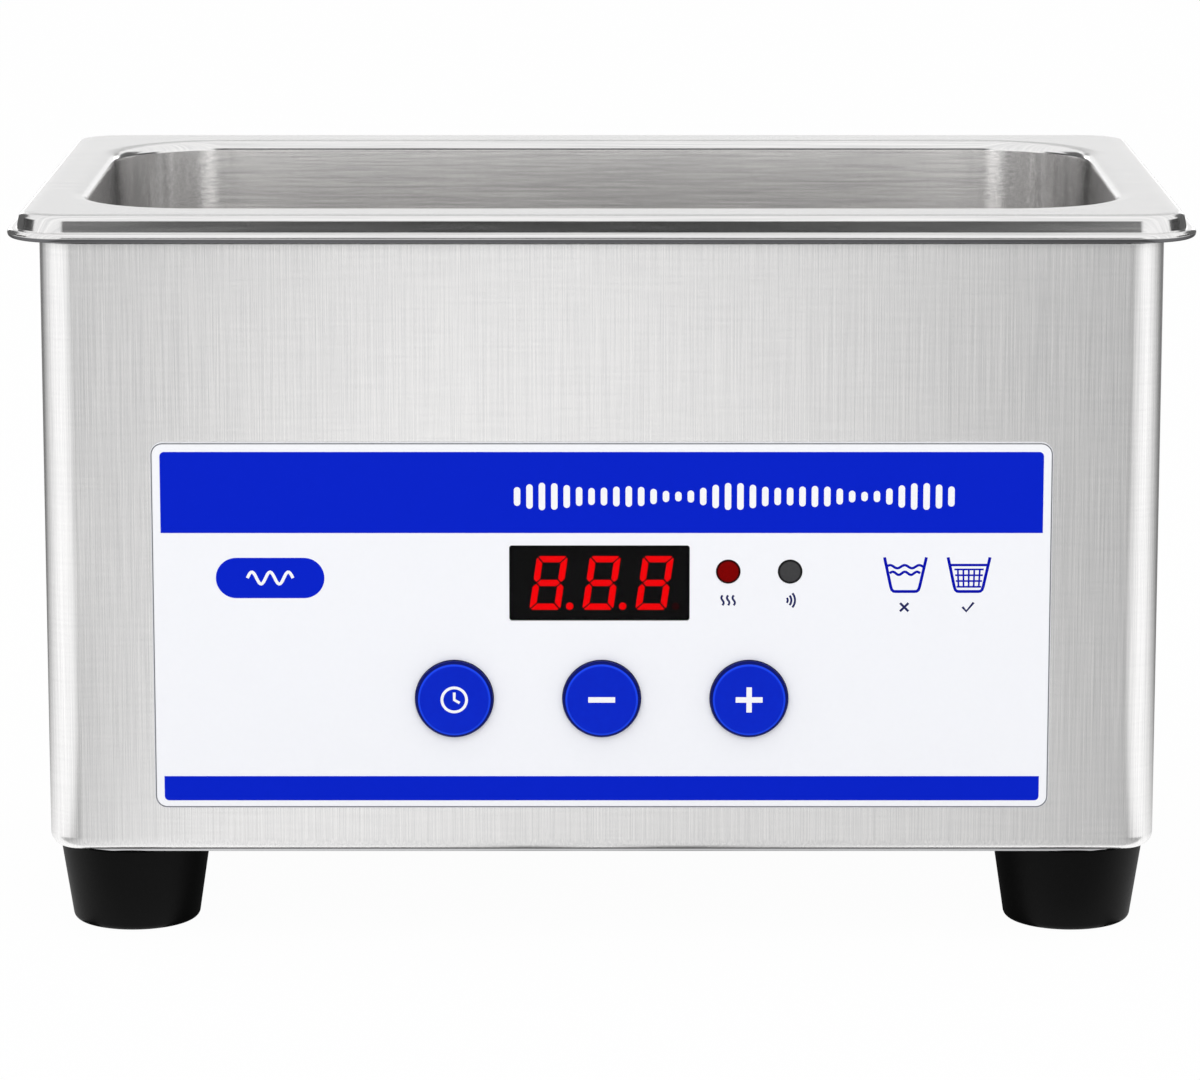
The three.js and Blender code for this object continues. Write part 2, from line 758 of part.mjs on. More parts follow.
add(front, 'control_board', controlBoard(), boardGreen());
for (const [name, x, y] of studPlaces) {
  add(front, `board_stud_${name}`, boardStud(), darkSteel(), x, y);
  add(front, `board_nut_${name}`, boardNut(), brass(), x, y);
}

// ---------------------------------------------------------------- transducer

const boltBore = boltRadius + slip;

// Bonded to the floor at its wide end, with a blind thread for the bolt in its narrow end.
function frontMass() {
  const threadDepth = boltBite + boltRunout;
  return turned([
    [0, 0],
    [frontMassTopRadius, 0],
    [frontMassTopRadius, frontMassLand],
    [frontMassBottomRadius, frontMassHeight],
    [boltBore, frontMassHeight],
    [boltBore, frontMassHeight - threadDepth],
    [0, frontMassHeight - threadDepth],
  ], hiddenSegments);
}

function electrode() {
  const length = electrodeTabLength + overrun;
  const tab = rectangle(length, electrodeTabWidth, piezoRadius - overrun + length / 2);
  const ring = collar(piezoRadius, piezoBore, electrodeThickness);
  return join(ring, slab(tab, electrodeThickness));
}

function preloadBolt(shankLength) {
  const head = turned([
    [0, -boltBite],
    [boltRadius, -boltBite],
    [boltRadius, shankLength],
    [boltHeadRadius, shankLength],
    [boltHeadRadius, shankLength + boltHeadHeight],
    [0, shankLength + boltHeadHeight],
  ], hiddenSegments);
  const crown = shankLength + boltHeadHeight;
  return cut(head, rod(boltSocketRadius, boltSocketDepth + overrun, crown - boltSocketDepth, 6));
}

// Each piece of the stack starts where the last one ends, going down from the tank.
function addTransducer() {
  let depth = seat;
  const stack = (name, geometry, material, height) => {
    const piece = add(underTank, name, geometry, material, 0, 0, depth);
    depth += height + seat;
    return piece;
  };
  stack('transducer_front_mass', frontMass(), aluminium(), frontMassHeight);
  stack('piezo_ring_upper', collar(piezoRadius, piezoBore, piezoHeight), ceramic(), piezoHeight);
  stack('electrode_live', electrode(), brass(), electrodeThickness).rotation.z = 0.5 * Math.PI;
  stack('piezo_ring_lower', collar(piezoRadius, piezoBore, piezoHeight), ceramic(), piezoHeight);
  stack('electrode_return', electrode(), brass(), electrodeThickness).rotation.z = 0.75 * Math.PI;
  stack('transducer_back_mass', collar(piezoRadius, boltBore, backMassHeight), darkSteel(), backMassHeight);
  add(underTank, 'preload_bolt', preloadBolt(clampedHeight), darkSteel(), 0, 0, depth - clampedHeight);
}

addTransducer();

// ---------------------------------------------------------------- heater and thermostat

const heaterStart = frontMassTopRadius + heaterGap;
const heaterLength = floorEnd - heaterMargin - heaterStart;
const heater = roundedRect(new THREE.Shape(), heaterLength, heaterWidth, heaterCorner);
const heaterX = heaterStart + heaterLength / 2;
add(underTank, 'heater_pad', slab(heater, heaterThickness, seat), heaterOrange(), heaterX);

// A snap-action disc in a can, on a strap that spreads over the floor.
function thermostat() {
  const strap = slab(rectangle(thermostatBracket, thermostatBracketWidth), thermostatBracketThickness);
  const waist = thermostatRadius * 0.8;
  const can = turned([
    [0, 0],
    [thermostatRadius, 0],
    [thermostatRadius, thermostatHeight * 0.4],
    [waist, thermostatHeight * 0.45],
    [waist, thermostatHeight],
    [0, thermostatHeight],
  ], hiddenSegments);
  return join(strap, can);
}

const thermostatX = thermostatMargin + thermostatBracket / 2 - floorEnd;
add(underTank, 'thermostat', thermostat(), aluminium(), thermostatX, 0, seat);

// ---------------------------------------------------------------- generator board

// Heights here are from the board's top face.
const standoffFoot = -boardThickness - seat - standoffHeight;

function generatorBoard() {
  const board = rectangle(generatorLength, generatorWidth);
  const pinHole = standoffPinRadius + slip;
  board.holes.push(...standoffPlaces.map(([, x, y]) => circle(new THREE.Path(), pinHole, x, y)));
  return slab(board, boardThickness, -boardThickness, 2);
}

// A nylon post that snaps through the base plate and the board.
function standoff() {
  const shoulder = standoffFoot + standoffHeight;
  const low = standoffFoot - seat - baseThickness - seat;
  const high = seat;
  const barb = standoffPinRadius + slip + standoffBarb;
  const tip = standoffPinRadius / 2;
  return turned([
    [0, low - 2 * standoffBarb],
    [tip, low - 2 * standoffBarb],
    [barb, low],
    [standoffPinRadius, low],
    [standoffPinRadius, standoffFoot],
    [standoffRadius, standoffFoot],
    [standoffRadius, shoulder],
    [standoffPinRadius, shoulder],
    [standoffPinRadius, high],
    [barb, high],
    [tip, high + 2 * standoffBarb],
    [0, high + 2 * standoffBarb],
  ], 8);
}

// Ferrite frame with a centre limb twice as thick as its outer limbs, and two windows for the coil.
const coreWindow = (coreLength - 4 * coreLimb) / 2;
const coreWindowHeight = coreHeight - 2 * coreLimb;

function transformerCore() {
  const block = slab(rectangle(coreLength, coreHeight, 0, coreHeight / 2), coreWidth, -coreWidth / 2);
  const windows = [-1, 1].map((side) => {
    const x = side * (coreLimb + coreWindow / 2);
    const outline = rectangle(coreWindow, coreWindowHeight, x, coreHeight / 2);
    return slab(outline, coreWidth + 2 * overrun, -coreWidth / 2 - overrun);
  });
  return cut(block, ...windows).rotateX(Math.PI / 2);
}

// The taped winding round the centre limb, which fills the windows and bulges out on both sides.
function transformerCoil() {
  const innerX = 2 * (coreLimb + slip);
  const innerY = coreWidth + 2 * slip;
  const wall = 2 * (coreWindow - 2 * slip);
  const outline = roundedRect(new THREE.Shape(), innerX + wall, innerY + wall, wall / 4);
  outline.holes.push(rectangle(innerX, innerY));
  return slab(outline, coreWindowHeight - 2 * slip, seat + coreLimb + slip);
}

// A finned extrusion that stands on end, its flat back towards the transistor.
function heatSink() {
  const outline = new THREE.Shape();
  const pitch = (sinkLength - finThickness) / (finCount - 1);
  outline.moveTo(0, -sinkLength / 2);
  for (let i = 0; i < finCount; i++) {
    const low = -sinkLength / 2 + i * pitch;
    const high = low + finThickness;
    outline.lineTo(sinkBack, low);
    outline.lineTo(sinkBack + finReach, low);
    outline.lineTo(sinkBack + finReach, high);
    outline.lineTo(sinkBack, high);
  }
  outline.lineTo(0, sinkLength / 2);
  outline.closePath();
  return slab(outline, sinkHeight, seat);
}

// Moulded body and metal tab flat against the heat sink, on three bent legs.
function powerTransistor() {
  const box = (depth, width, y, low, high) => {
    return slab(rectangle(depth, width, -seat - depth / 2, y), high - low, low);
  };
  const bodyLow = seat + transistorLegs;
  const bodyHigh = bodyLow + transistorHeight - transistorTab;
  const body = box(transistorThickness, transistorWidth, 0, bodyLow, bodyHigh);
  const tabTop = bodyLow + transistorHeight;
  const tab = box(transistorTabThickness, transistorWidth, 0, bodyHigh - overrun, tabTop);
  const legs = [-1, 0, 1].map((side) => {
    const y = side * transistorLegPitch;
    return box(transistorTabThickness, transistorLegWidth, y, seat, bodyLow + overrun);
  });
  return join(body, tab, ...legs);
}

// A round can with the rolled groove that holds its bung.
function filterCapacitor() {
  const groove = capacitorHeight / 8;
  const waist = capacitorRadius - capacitorGroove;
  return turned([
    [0, seat],
    [capacitorRadius, seat],
    [capacitorRadius, groove - capacitorGroove],
    [waist, groove],
    [capacitorRadius, groove + capacitorGroove],
    [capacitorRadius, capacitorHeight - capacitorGroove],
    [waist, capacitorHeight],
    [0, capacitorHeight],
  ], hiddenSegments);
}

add(generator, 'generator_board', generatorBoard(), boardGreen());
for (const [name, x, y] of standoffPlaces) {
  add(generator, `standoff_${name}`, standoff(), nylon(), x, y);
}
add(generator, 'transformer_core', transformerCore(), ferrite(), coreX, coreY, seat);
add(generator, 'transformer_coil', transformerCoil(), coilTape(), coreX, coreY);
add(generator, 'heat_sink', heatSink(), aluminium(), sinkX);
add(generator, 'power_transistor', powerTransistor(), blackPlastic(), sinkX);
add(generator, 'filter_capacitor', filterCapacitor(), capacitorSleeve(), capacitorX, capacitorY);

// ---------------------------------------------------------------- mains inlet

// An oblong with its two lower corners cut off.
function inletOutline(length, height, chamfer) {
  const [x, y] = [length / 2, height / 2];
  const points = [[x, y], [-x, y], [-x, chamfer - y], [chamfer - x, -y], [x - chamfer, -y], [x, chamfer - y]];
  return new THREE.Shape(points.map(([a, b]) => new THREE.Vector2(a, b)));
}

// A flanged socket with its three blades and, behind, their three solder tags.
function powerInlet() {
  const face = seat + inletFlangeThickness;
  const socketFloor = face - inletSocketDepth;
  const back = -inletBodyDepth;
  const screwHoles = [-1, 1].map((side) => {
    const bore = rod(inletScrewRadius + screwSlip, face + 2 * overrun, -overrun);
    return bore.translate(side * inletScrewPitch / 2, 0, 0);
  });
  const flange = roundedRect(new THREE.Shape(), inletFlangeLength, inletFlangeHeight, inletFlangeCorner);
  const body = join(
    slab(flange, inletFlangeThickness, seat),
    slab(inletOutline(inletBodyLength, inletBodyHeight, inletChamfer), seat + overrun - back, back),
  );
  const mouth = inletOutline(inletSocketLength, inletSocketHeight, inletChamfer);
  const socket = slab(mouth, inletSocketDepth + overrun, socketFloor);
  const blades = [[-1, -1], [1, -1], [0, 1]].flatMap(([side, level]) => {
    const [x, y] = [side * inletPinPitch, level * inletPinDrop];
    return [
      slab(rectangle(inletPinWidth, inletPinHeight, x, y), inletPinLength + overrun, socketFloor - overrun),
      slab(rectangle(tagThickness, inletPinHeight, x, y), inletTagLength + overrun, back - inletTagLength),
    ];
  });
  return join(cut(body, socket, ...screwHoles), ...blades);
}

function inletScrew() {
  const shoulder = seat + inletFlangeThickness + seat;
  const crown = shoulder + inletScrewHeadHeight;
  return turned([
    [0, shoulder - inletScrewLength],
    [inletScrewRadius, shoulder - inletScrewLength],
    [inletScrewRadius, shoulder],
    [inletScrewHeadRadius, shoulder],
    [inletScrewHeadRadius * 0.8, crown - inletScrewHeadHeight / 3],
    [0, crown],
  ], smallSegments);
}

add(rear, 'power_inlet', powerInlet(), blackPlastic(), -inletX);
for (const [name, side] of [['left', -1], ['right', 1]]) {
  add(rear, `inlet_screw_${name}`, inletScrew(), darkSteel(), -inletX + side * inletScrewPitch / 2);
}

// ---------------------------------------------------------------- rocker switch

function alongX(geometry) {
  const [x, y, z] = [[1, 0, 0], [0, 1, 0], [0, 0, 1]].map((axis) => new THREE.Vector3(...axis));
  return geometry.applyMatrix4(new THREE.Matrix4().makeBasis(y, z, x));
}

function pivotPin(radius, length) {
  return new THREE.CylinderGeometry(radius, radius, length, 10).rotateZ(Math.PI / 2);
}

// Bezel and body in one, with a well for the rocker and a blind hole for each pivot pin.
function rockerHousing() {
  const face = seat + rockerBezelThickness;
  const back = -rockerBodyDepth;
  const wellFloor = rockerPivotZ - rockerRadius - slip;
  const bezel = roundedRect(new THREE.Shape(), rockerBezelLength, rockerBezelHeight, rockerBezelCorner);
  const body = slab(rectangle(rockerBodyLength, rockerBodyHeight), seat + overrun - back, back);
  const tags = [-1, 1].map((side) => {
    const outline = rectangle(inletPinHeight, tagThickness, 0, side * rockerBodyHeight / 4);
    return slab(outline, inletTagLength + overrun, back - inletTagLength);
  });
  const well = rectangle(rockerWidth + 2 * slip, 2 * (rockerRadius + slip));
  const holes = pivotPin(rockerPivotRadius + slip, rockerWidth + 2 * (rockerPivotLength + slip));
  return cut(
    join(slab(bezel, rockerBezelThickness, seat), body, ...tags),
    slab(well, face + overrun - wellFloor, wellFloor),
    holes.translate(0, 0, rockerPivotZ),
  );
}

// Two flat paddles that meet in a shallow V, between ends rounded about the pivot.
function rocker() {
  const tilt = THREE.MathUtils.degToRad(rockerTilt);
  const high = tilt + Math.asin(rockerCrown * Math.cos(tilt) / rockerRadius);
  const low = Math.asin(rockerBelly / rockerRadius);
  const outline = new THREE.Shape();
  outline.moveTo(0, rockerCrown);
  outline.absarc(0, 0, rockerRadius, Math.PI - high, Math.PI + low, false);
  outline.absarc(0, 0, rockerRadius, -low, high, false);
  outline.closePath();
  const body = alongX(slab(outline, rockerWidth, -rockerWidth / 2));
  return join(body, pivotPin(rockerPivotRadius, rockerWidth + 2 * rockerPivotLength));
}

add(rear, 'rocker_housing', rockerHousing(), blackPlastic(), -rockerX);
const rockerMesh = add(rear, 'rocker', rocker(), blackPlastic(), -rockerX, 0, rockerPivotZ);
rockerMesh.rotation.x = -THREE.MathUtils.degToRad(rockerTilt); // switched on: its upper half is pressed in

export default cleaner;
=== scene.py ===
# %% [markdown]
# # A bench-top ultrasonic cleaner
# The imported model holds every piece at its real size. This lesson models the pieces that show
# again with finer surfaces, in the same place, and gives each one its finish. All lengths are
# in metres. The origin is on the floor under the bath, and the control panel faces -Y.

# %% Load the frame
import json
import math

import bmesh
import bpy
from mathutils import Matrix, Vector


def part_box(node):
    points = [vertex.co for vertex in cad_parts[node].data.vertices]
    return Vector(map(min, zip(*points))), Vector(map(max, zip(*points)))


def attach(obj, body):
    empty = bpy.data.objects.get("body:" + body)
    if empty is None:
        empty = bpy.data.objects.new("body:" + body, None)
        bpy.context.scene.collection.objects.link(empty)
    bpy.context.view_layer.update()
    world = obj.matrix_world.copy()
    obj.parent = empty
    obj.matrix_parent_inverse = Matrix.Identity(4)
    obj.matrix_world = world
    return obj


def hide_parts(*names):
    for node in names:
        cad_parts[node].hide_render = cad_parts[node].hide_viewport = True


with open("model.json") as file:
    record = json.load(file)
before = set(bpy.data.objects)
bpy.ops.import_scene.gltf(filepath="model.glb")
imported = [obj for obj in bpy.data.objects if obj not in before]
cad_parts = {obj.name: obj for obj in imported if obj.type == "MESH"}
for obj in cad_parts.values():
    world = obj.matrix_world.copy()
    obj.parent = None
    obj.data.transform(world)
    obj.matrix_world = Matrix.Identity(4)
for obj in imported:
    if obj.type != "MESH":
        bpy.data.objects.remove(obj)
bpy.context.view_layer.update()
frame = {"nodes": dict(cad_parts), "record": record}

MM = 0.001

# %% [markdown]
# ## Camera
# The photograph looks down at the front by 11 degrees, from about a metre away, with a long
# lens: the sides of the housing hardly converge. A photographer would take a 160 mm lens on a
# full frame for it, so the camera here does too.

# %% Place the camera
CAMERA_PLACE = (-0.0003, -0.98867, 0.25475)
CAMERA_TILT = 11.02
LENS = 160

camera = bpy.data.objects.new("camera", bpy.data.cameras.new("camera"))
camera.data.lens = LENS
camera.data.sensor_width = 36
camera.location = CAMERA_PLACE
camera.rotation_euler = (math.radians(90 - CAMERA_TILT), 0, 0)
bpy.context.scene.collection.objects.link(camera)
bpy.context.scene.camera = camera
print("camera at", CAMERA_PLACE, "tilted down by", CAMERA_TILT)

# %% [markdown]
# ## Working by hand, in code
# A person models by picking faces and pressing keys. Here the picking is done by a test on
# the middle of each face, edge or vertex, and the keys are operators. An operator acts on all
# that is selected, so each step starts with nothing selected. A finished piece keeps its place
# in its mesh, with its object at the origin, as the nodes of the frame do.


# %% Select and edit
def activate(piece):
    """Leaves edit mode, and selects this piece alone."""
    if bpy.context.object and bpy.context.object.mode == "EDIT":
        bpy.ops.object.mode_set(mode="OBJECT")
    bpy.ops.object.select_all(action="DESELECT")
    piece.select_set(True)
    bpy.context.view_layer.objects.active = piece


def pick(piece, kind="FACE", test=lambda middle: True):
    """In edit mode, selects the faces, edges or vertices whose middle passes the test."""
    activate(piece)
    bpy.ops.object.mode_set(mode="EDIT")
    bpy.ops.mesh.select_mode(type=kind)
    bpy.ops.mesh.select_all(action="DESELECT")
    mesh = bmesh.from_edit_mesh(piece.data)
    for part in {"FACE": mesh.faces, "EDGE": mesh.edges, "VERT": mesh.verts}[kind]:
        corners = [part] if kind == "VERT" else part.verts
        if test(sum((corner.co for corner in corners), Vector()) / len(corners)):
            part.select_set(True)
    mesh.select_flush_mode()
    bmesh.update_edit_mesh(piece.data)


def done(piece):
    """Leaves edit mode."""
    bpy.ops.object.mode_set(mode="OBJECT")
    return piece


def near(a, b, reach=1e-5):
    return abs(a - b) < reach


def settle(piece, name=None):
    """Puts a piece's place and size into its mesh."""
    activate(piece)
    bpy.ops.object.transform_apply(location=True, rotation=True, scale=True)
    if name:
        piece.name = name
        piece.data.name = name
    return piece


# %% Finish, join and dress a piece
def apply_modifier(piece, kind, **settings):
    activate(piece)
    modifier = piece.modifiers.new(kind.title(), kind)
    for key, value in settings.items():
        setattr(modifier, key, value)
    bpy.ops.object.modifier_apply(modifier=modifier.name)
    return piece


def smooth(piece, angle=35):
    """Smooth shading up to this angle, with the large faces keeping their own normal."""
    activate(piece)
    bpy.ops.object.shade_smooth_by_angle(angle=math.radians(angle))
    return apply_modifier(piece, "WEIGHTED_NORMAL", weight=80, keep_sharp=True)


def join(pieces, name):
    activate(pieces[0])
    for other in pieces[1:]:
        other.select_set(True)
    bpy.ops.object.join()
    return settle(bpy.context.object, name)


def dress(piece, finish, replaces=(), body="cleaner"):
    """Gives a finished piece its material and the body that it rides on, and hides the nodes it
    replaces.
    """
    piece.data.materials.clear()
    piece.data.materials.append(finish)
    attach(piece, body)
    if replaces:
        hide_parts(*replaces)
    return piece


# %% [markdown]
# ## Rings from one face
# A drawn or folded shell is a family of outlines, each a set distance inside the last. Inset
# makes just that: a thickness across and a depth along the face's normal. So each shell here
# starts as one face, a plane with rounded corners, and a list of points of its section says
# how far in and how high each next ring lies.

# %% A rounded face
CORNER_STEPS = 16


def flat(name, size, place, turn=(0, 0, 0)):
    """A flat rectangle."""
    bpy.ops.object.select_all(action="DESELECT")
    bpy.ops.mesh.primitive_plane_add(size=1, location=place, rotation=turn)
    bpy.context.object.scale = (*size, 1)
    return settle(bpy.context.object, name)


def round_corners(piece, corner, steps, test=lambda middle: True):
    """Rounds the chosen corners of a flat piece. In one step it cuts them off straight."""
    pick(piece, "VERT", test)
    bpy.ops.mesh.bevel(offset=corner, segments=steps, affect="VERTICES")
    return done(piece)


def look(piece, up):
    """Makes a flat face look up or down."""
    if (piece.data.polygons[0].normal.z > 0) != up:
        pick(piece)
        bpy.ops.mesh.flip_normals()
        done(piece)
    return piece


def rounded_face(name, size, corner, z, up=True, steps=CORNER_STEPS, centre=(0, 0)):
    """A flat face with rounded corners, looking up or down."""
    return look(round_corners(flat(name, size, (*centre, z)), corner, steps), up)


def arc(centre, radius, start, end, steps):
    """Points of a round in a section, as (inwards, z), from one angle to another in degrees."""
    angles = [math.radians(start + (end - start) * i / steps) for i in range(steps + 1)]
    return [(centre[0] - radius * math.cos(a), centre[1] + radius * math.sin(a)) for a in angles]


# %% Rings, bridges and welds
def inset_along(piece, section, up=True, keep=False):
    """Insets the piece's one face ring by ring along a section of (inwards, z) points."""
    pick(piece)
    for (inward, z), (next_inward, next_z) in zip(section, section[1:]):
        rise = next_z - z if up else z - next_z
        bpy.ops.mesh.inset(thickness=next_inward - inward, depth=rise, use_even_offset=True)
    if not keep:
        bpy.ops.mesh.delete(type="ONLY_FACE")
    return done(piece)


def bridge(piece, z):
    """Fills the flat between the two open outlines at one height."""
    pick(piece, "EDGE", lambda middle: near(middle.z, z))
    for edge in bmesh.from_edit_mesh(piece.data).edges:
        edge.select_set(edge.select and len(edge.link_faces) < 2)
    bmesh.update_edit_mesh(piece.data)
    bpy.ops.mesh.bridge_edge_loops()
    done(piece)


def weld(piece, reach=2e-6):
    """Merges the points that two parts of a piece share, and turns all faces outwards."""
    pick(piece, "VERT")
    bpy.ops.mesh.remove_doubles(threshold=reach)
    bpy.ops.mesh.select_all(action="SELECT")
    bpy.ops.mesh.normals_make_consistent(inside=False)
    return done(piece)


def report(piece):
    mesh = bmesh.new()
    mesh.from_mesh(piece.data)
    open_edges = sum(not edge.is_manifold for edge in mesh.edges)
    mesh.free()
    size = [round(side / MM, 1) for side in piece.dimensions]
    print(f"{piece.name}: {len(piece.data.polygons)} faces, {size} mm, {open_edges} open edges")


# %% [markdown]
# ## Writing a material
# A material is a small sum: take the place on the object, stretch it, make noise from it, and
# mix two colours by that noise. Its nodes could be added one by one, but then the sum is hard
# to read. Here a Wire stands for a socket, and Python's own operators add the Math nodes.


# %% Wires
class Wire:
    """A socket that can be added, subtracted and multiplied."""

    def __init__(self, finish, socket):
        self.finish, self.socket = finish, socket

    def math(self, operation, first, second):
        return self.finish.node("ShaderNodeMath", {"operation": operation}, {0: first, 1: second})

    def __add__(self, other):
        return self.math("ADD", self, other)

    def __sub__(self, other):
        return self.math("SUBTRACT", self, other)

    def __rsub__(self, other):
        return self.math("SUBTRACT", other, self)

    def __mul__(self, other):
        return self.math("MULTIPLY", self, other)

    __radd__, __rmul__ = __add__, __mul__

    def scaled(self, share):
        """A colour times a number."""
        return self.finish.mix(share, (0.0, 0.0, 0.0), self)

    def size(self):
        return self.math("ABSOLUTE", self, 0.0)

    def most(self, other):
        """The larger of two."""
        return self.math("MAXIMUM", self, other)

    def above(self, level, softness):
        """0 below a level and 1 above it, with a soft step between."""
        inputs = {"Value": self, "From Min": level - softness, "From Max": level + softness}
        settings = {"interpolation_type": "SMOOTHSTEP", "clamp": True}
        return self.finish.node("ShaderNodeMapRange", settings, inputs)


# %% Finishes
class Finish:
    """A material on one shader, or the world on its own.

    What is the same all over is set on the shader itself.
    """

    def __init__(self, name, constants=(), world=None):
        self.material = world or bpy.data.materials.new(name)
        self.material.use_nodes = True
        self.tree = self.material.node_tree
        self.shader = self.tree.nodes["Background" if world else "Principled BSDF"]
        self.drive(dict(constants))

    def node(self, kind, settings=(), inputs=(), output=0):
        """Adds any node: its settings first, then the values or wires of its sockets."""
        made = self.tree.nodes.new(kind)
        for key, value in dict(settings).items():
            if key == "stops":
                self.set_stops(made.color_ramp, value)
            else:
                setattr(made, key, value)
        for key, value in dict(inputs).items():
            self.feed(made.inputs[key], value)
        return Wire(self, made.outputs[output])

    def set_stops(self, ramp, stops):
        while len(ramp.elements) < len(stops):
            ramp.elements.new(1.0)
        for element, (place, level) in zip(ramp.elements, stops):
            element.position = place
            element.color = (level, level, level, 1)

    def feed(self, socket, value):
        if isinstance(value, Wire):
            self.tree.links.new(value.socket, socket)
        else:
            socket.default_value = value

    def drive(self, inputs):
        for key, value in inputs.items():
            if isinstance(value, tuple) and len(value) == 3:
                value = (*value, 1)
            self.feed(self.shader.inputs[key], value)
        return self.material

    def place(self):
        return self.node("ShaderNodeTexCoord", output="Object")

    def axis(self, name):
        return self.node("ShaderNodeSeparateXYZ", {}, {0: self.place()}, output=name)

    def facing(self, name):
        normal = self.node("ShaderNodeNewGeometry", output="Normal")
        return self.node("ShaderNodeSeparateXYZ", {}, {0: normal}, output=name)

    def noise(self, grain, detail=2.0, roughness=0.5):
        """Noise from 0 to 1. A grain has one length, or three along X, Y and Z, in metres."""
        grain = grain if isinstance(grain, tuple) else (grain,) * 3
        scale = tuple(1 / length for length in grain)
        stretched = self.node("ShaderNodeMapping", {}, {"Vector": self.place(), "Scale": scale})
        inputs = {"Vector": stretched, "Scale": 1.0, "Detail": detail, "Roughness": roughness}
        return self.node("ShaderNodeTexNoise", {}, inputs)

    def ramp(self, value, stops):
        return self.node("ShaderNodeValToRGB", {"stops": stops}, {"Fac": value})

    def mix(self, share, first, second):
        """Two colours or wires mixed by a share from 0 to 1."""
        first, second = [(*x, 1) if isinstance(x, tuple) else x for x in (first, second)]
        return self.node("ShaderNodeMix", {"data_type": "RGBA"}, {0: share, 6: first, 7: second}, 2)

    def blend(self, share, first, second):
        """Two wires of numbers mixed by a share from 0 to 1."""
        return first * (1 - share) + second * share

    def bump(self, height, strength, distance):
        inputs = {"Height": height, "Strength": strength, "Distance": distance}
        return self.drive({"Normal": self.node("ShaderNodeBump", {}, inputs)})

    def surface(self, shader):
        """Ends the material in this shader in place of the plain one."""
        output = self.tree.nodes["Material Output"]
        self.tree.links.new(shader.socket, output.inputs["Surface"])
        return self.material


# %% Colours as a screen shows them
def srgb(red, green, blue):
    """A colour as a screen shows it, 0 to 255, in the linear numbers that a shader takes."""
    levels = [level / 255 for level in (red, green, blue)]
    return tuple(x / 12.92 if x <= 0.04045 else ((x + 0.055) / 1.055) ** 2.4 for x in levels)


print("panel white in linear numbers:", [round(x, 3) for x in srgb(247, 248, 252)])

# %% [markdown]
# ## The drawn tank
# A press draws the bath, its mouth and its rim from one sheet of stainless steel. Round the
# outside the sheet steps down 3 mm and is folded under itself into a hemmed lip. It could be
# lofted from points in a table, but the section changes family at the flat of the rim: the lip
# and the step follow the rim's tight corners, and the bath follows its own wide ones. So two
# rounded faces are inset along their own section, the flat is bridged between them, and the
# whole sheet gets its thickness last.

# %% Sizes of the tank
tank_low, tank_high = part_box("tank")
housing_low, housing_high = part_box("housing")
SHEET = 0.75 * MM
RIM_TOP = tank_high.z - 0.001 * MM
LIP_CORNER = 10.7 * MM
LIP_RADIUS = 0.8 * MM
LIP_MIDDLE = RIM_TOP - 3.8 * MM
HEM_DEPTH = 1.6 * MM
STEP_IN = 1.7 * MM      # from the lip's outermost line to the foot of the step
STEP_COVE = 0.18 * MM
STEP_LEAN = 0.35 * MM
STEP_ROUND = 1.1 * MM
ROLL = 16.0 * MM        # the soft roll between the rim's flat and its edges
ROLL_TURN = 8.0
MOUTH_ROLL = 10.0 * MM
MOUTH_TURN = 14.0
MOUTH_ROUND = 1.5 * MM
BATH_WALL = (186.4 * MM, 97.4 * MM)
BATH_CORNER = 20.5 * MM
BATH_DRAFT = 1.5 * MM
FLOOR_ROUND = 9.0 * MM
FLOOR_HEIGHT = tank_low.z + 0.8 * MM

# %% The tank's section
lip_size = (tank_high.x - tank_low.x, tank_high.y - tank_low.y)
step_foot = LIP_MIDDLE + LIP_RADIUS
lip_over = arc((LIP_RADIUS, LIP_MIDDLE), LIP_RADIUS, 0, 90, 8)
cove = arc((STEP_IN - STEP_COVE, step_foot + STEP_COVE), STEP_COVE, -90, -180, 4)
hem = arc((LIP_RADIUS, LIP_MIDDLE), LIP_RADIUS, 0, -90, 8)
hem.append((HEM_DEPTH, LIP_MIDDLE - LIP_RADIUS))

# A roll drops as it turns, so the tight round that follows it starts that much lower.
turn = math.radians(ROLL_TURN)
edge_drop = ROLL * (1 - math.cos(turn)) - STEP_ROUND * (1 - math.cos(turn))
edge_centre = (STEP_IN + STEP_LEAN + STEP_ROUND, RIM_TOP - edge_drop - STEP_ROUND)
rim_edge = arc(edge_centre, STEP_ROUND, 12, 90 - ROLL_TURN, 8)
roll_in = edge_centre[0] - STEP_ROUND * math.sin(turn) + ROLL * math.sin(turn)
rim_edge += arc((roll_in, RIM_TOP - ROLL), ROLL, 90 - ROLL_TURN, 90, 6)[1:]

turn = math.radians(MOUTH_TURN)
mouth = arc((0, RIM_TOP - MOUTH_ROLL), MOUTH_ROLL, 90, 90 + MOUTH_TURN, 7)
mouth_drop = (MOUTH_ROLL - MOUTH_ROUND) * (1 - math.cos(turn))
mouth_centre = (mouth[-1][0] - MOUTH_ROUND * math.sin(turn), RIM_TOP - mouth_drop - MOUTH_ROUND)
mouth += arc(mouth_centre, MOUTH_ROUND, 90 + MOUTH_TURN, 180, 9)[1:]
mouth_in = mouth[-1][0]
print("the mouth turns in by", round(mouth_in / MM, 2), "mm")
wall_foot = FLOOR_HEIGHT + FLOOR_ROUND
floor_turn = arc((mouth_in + BATH_DRAFT + FLOOR_ROUND, wall_foot), FLOOR_ROUND, 0, -90, 10)

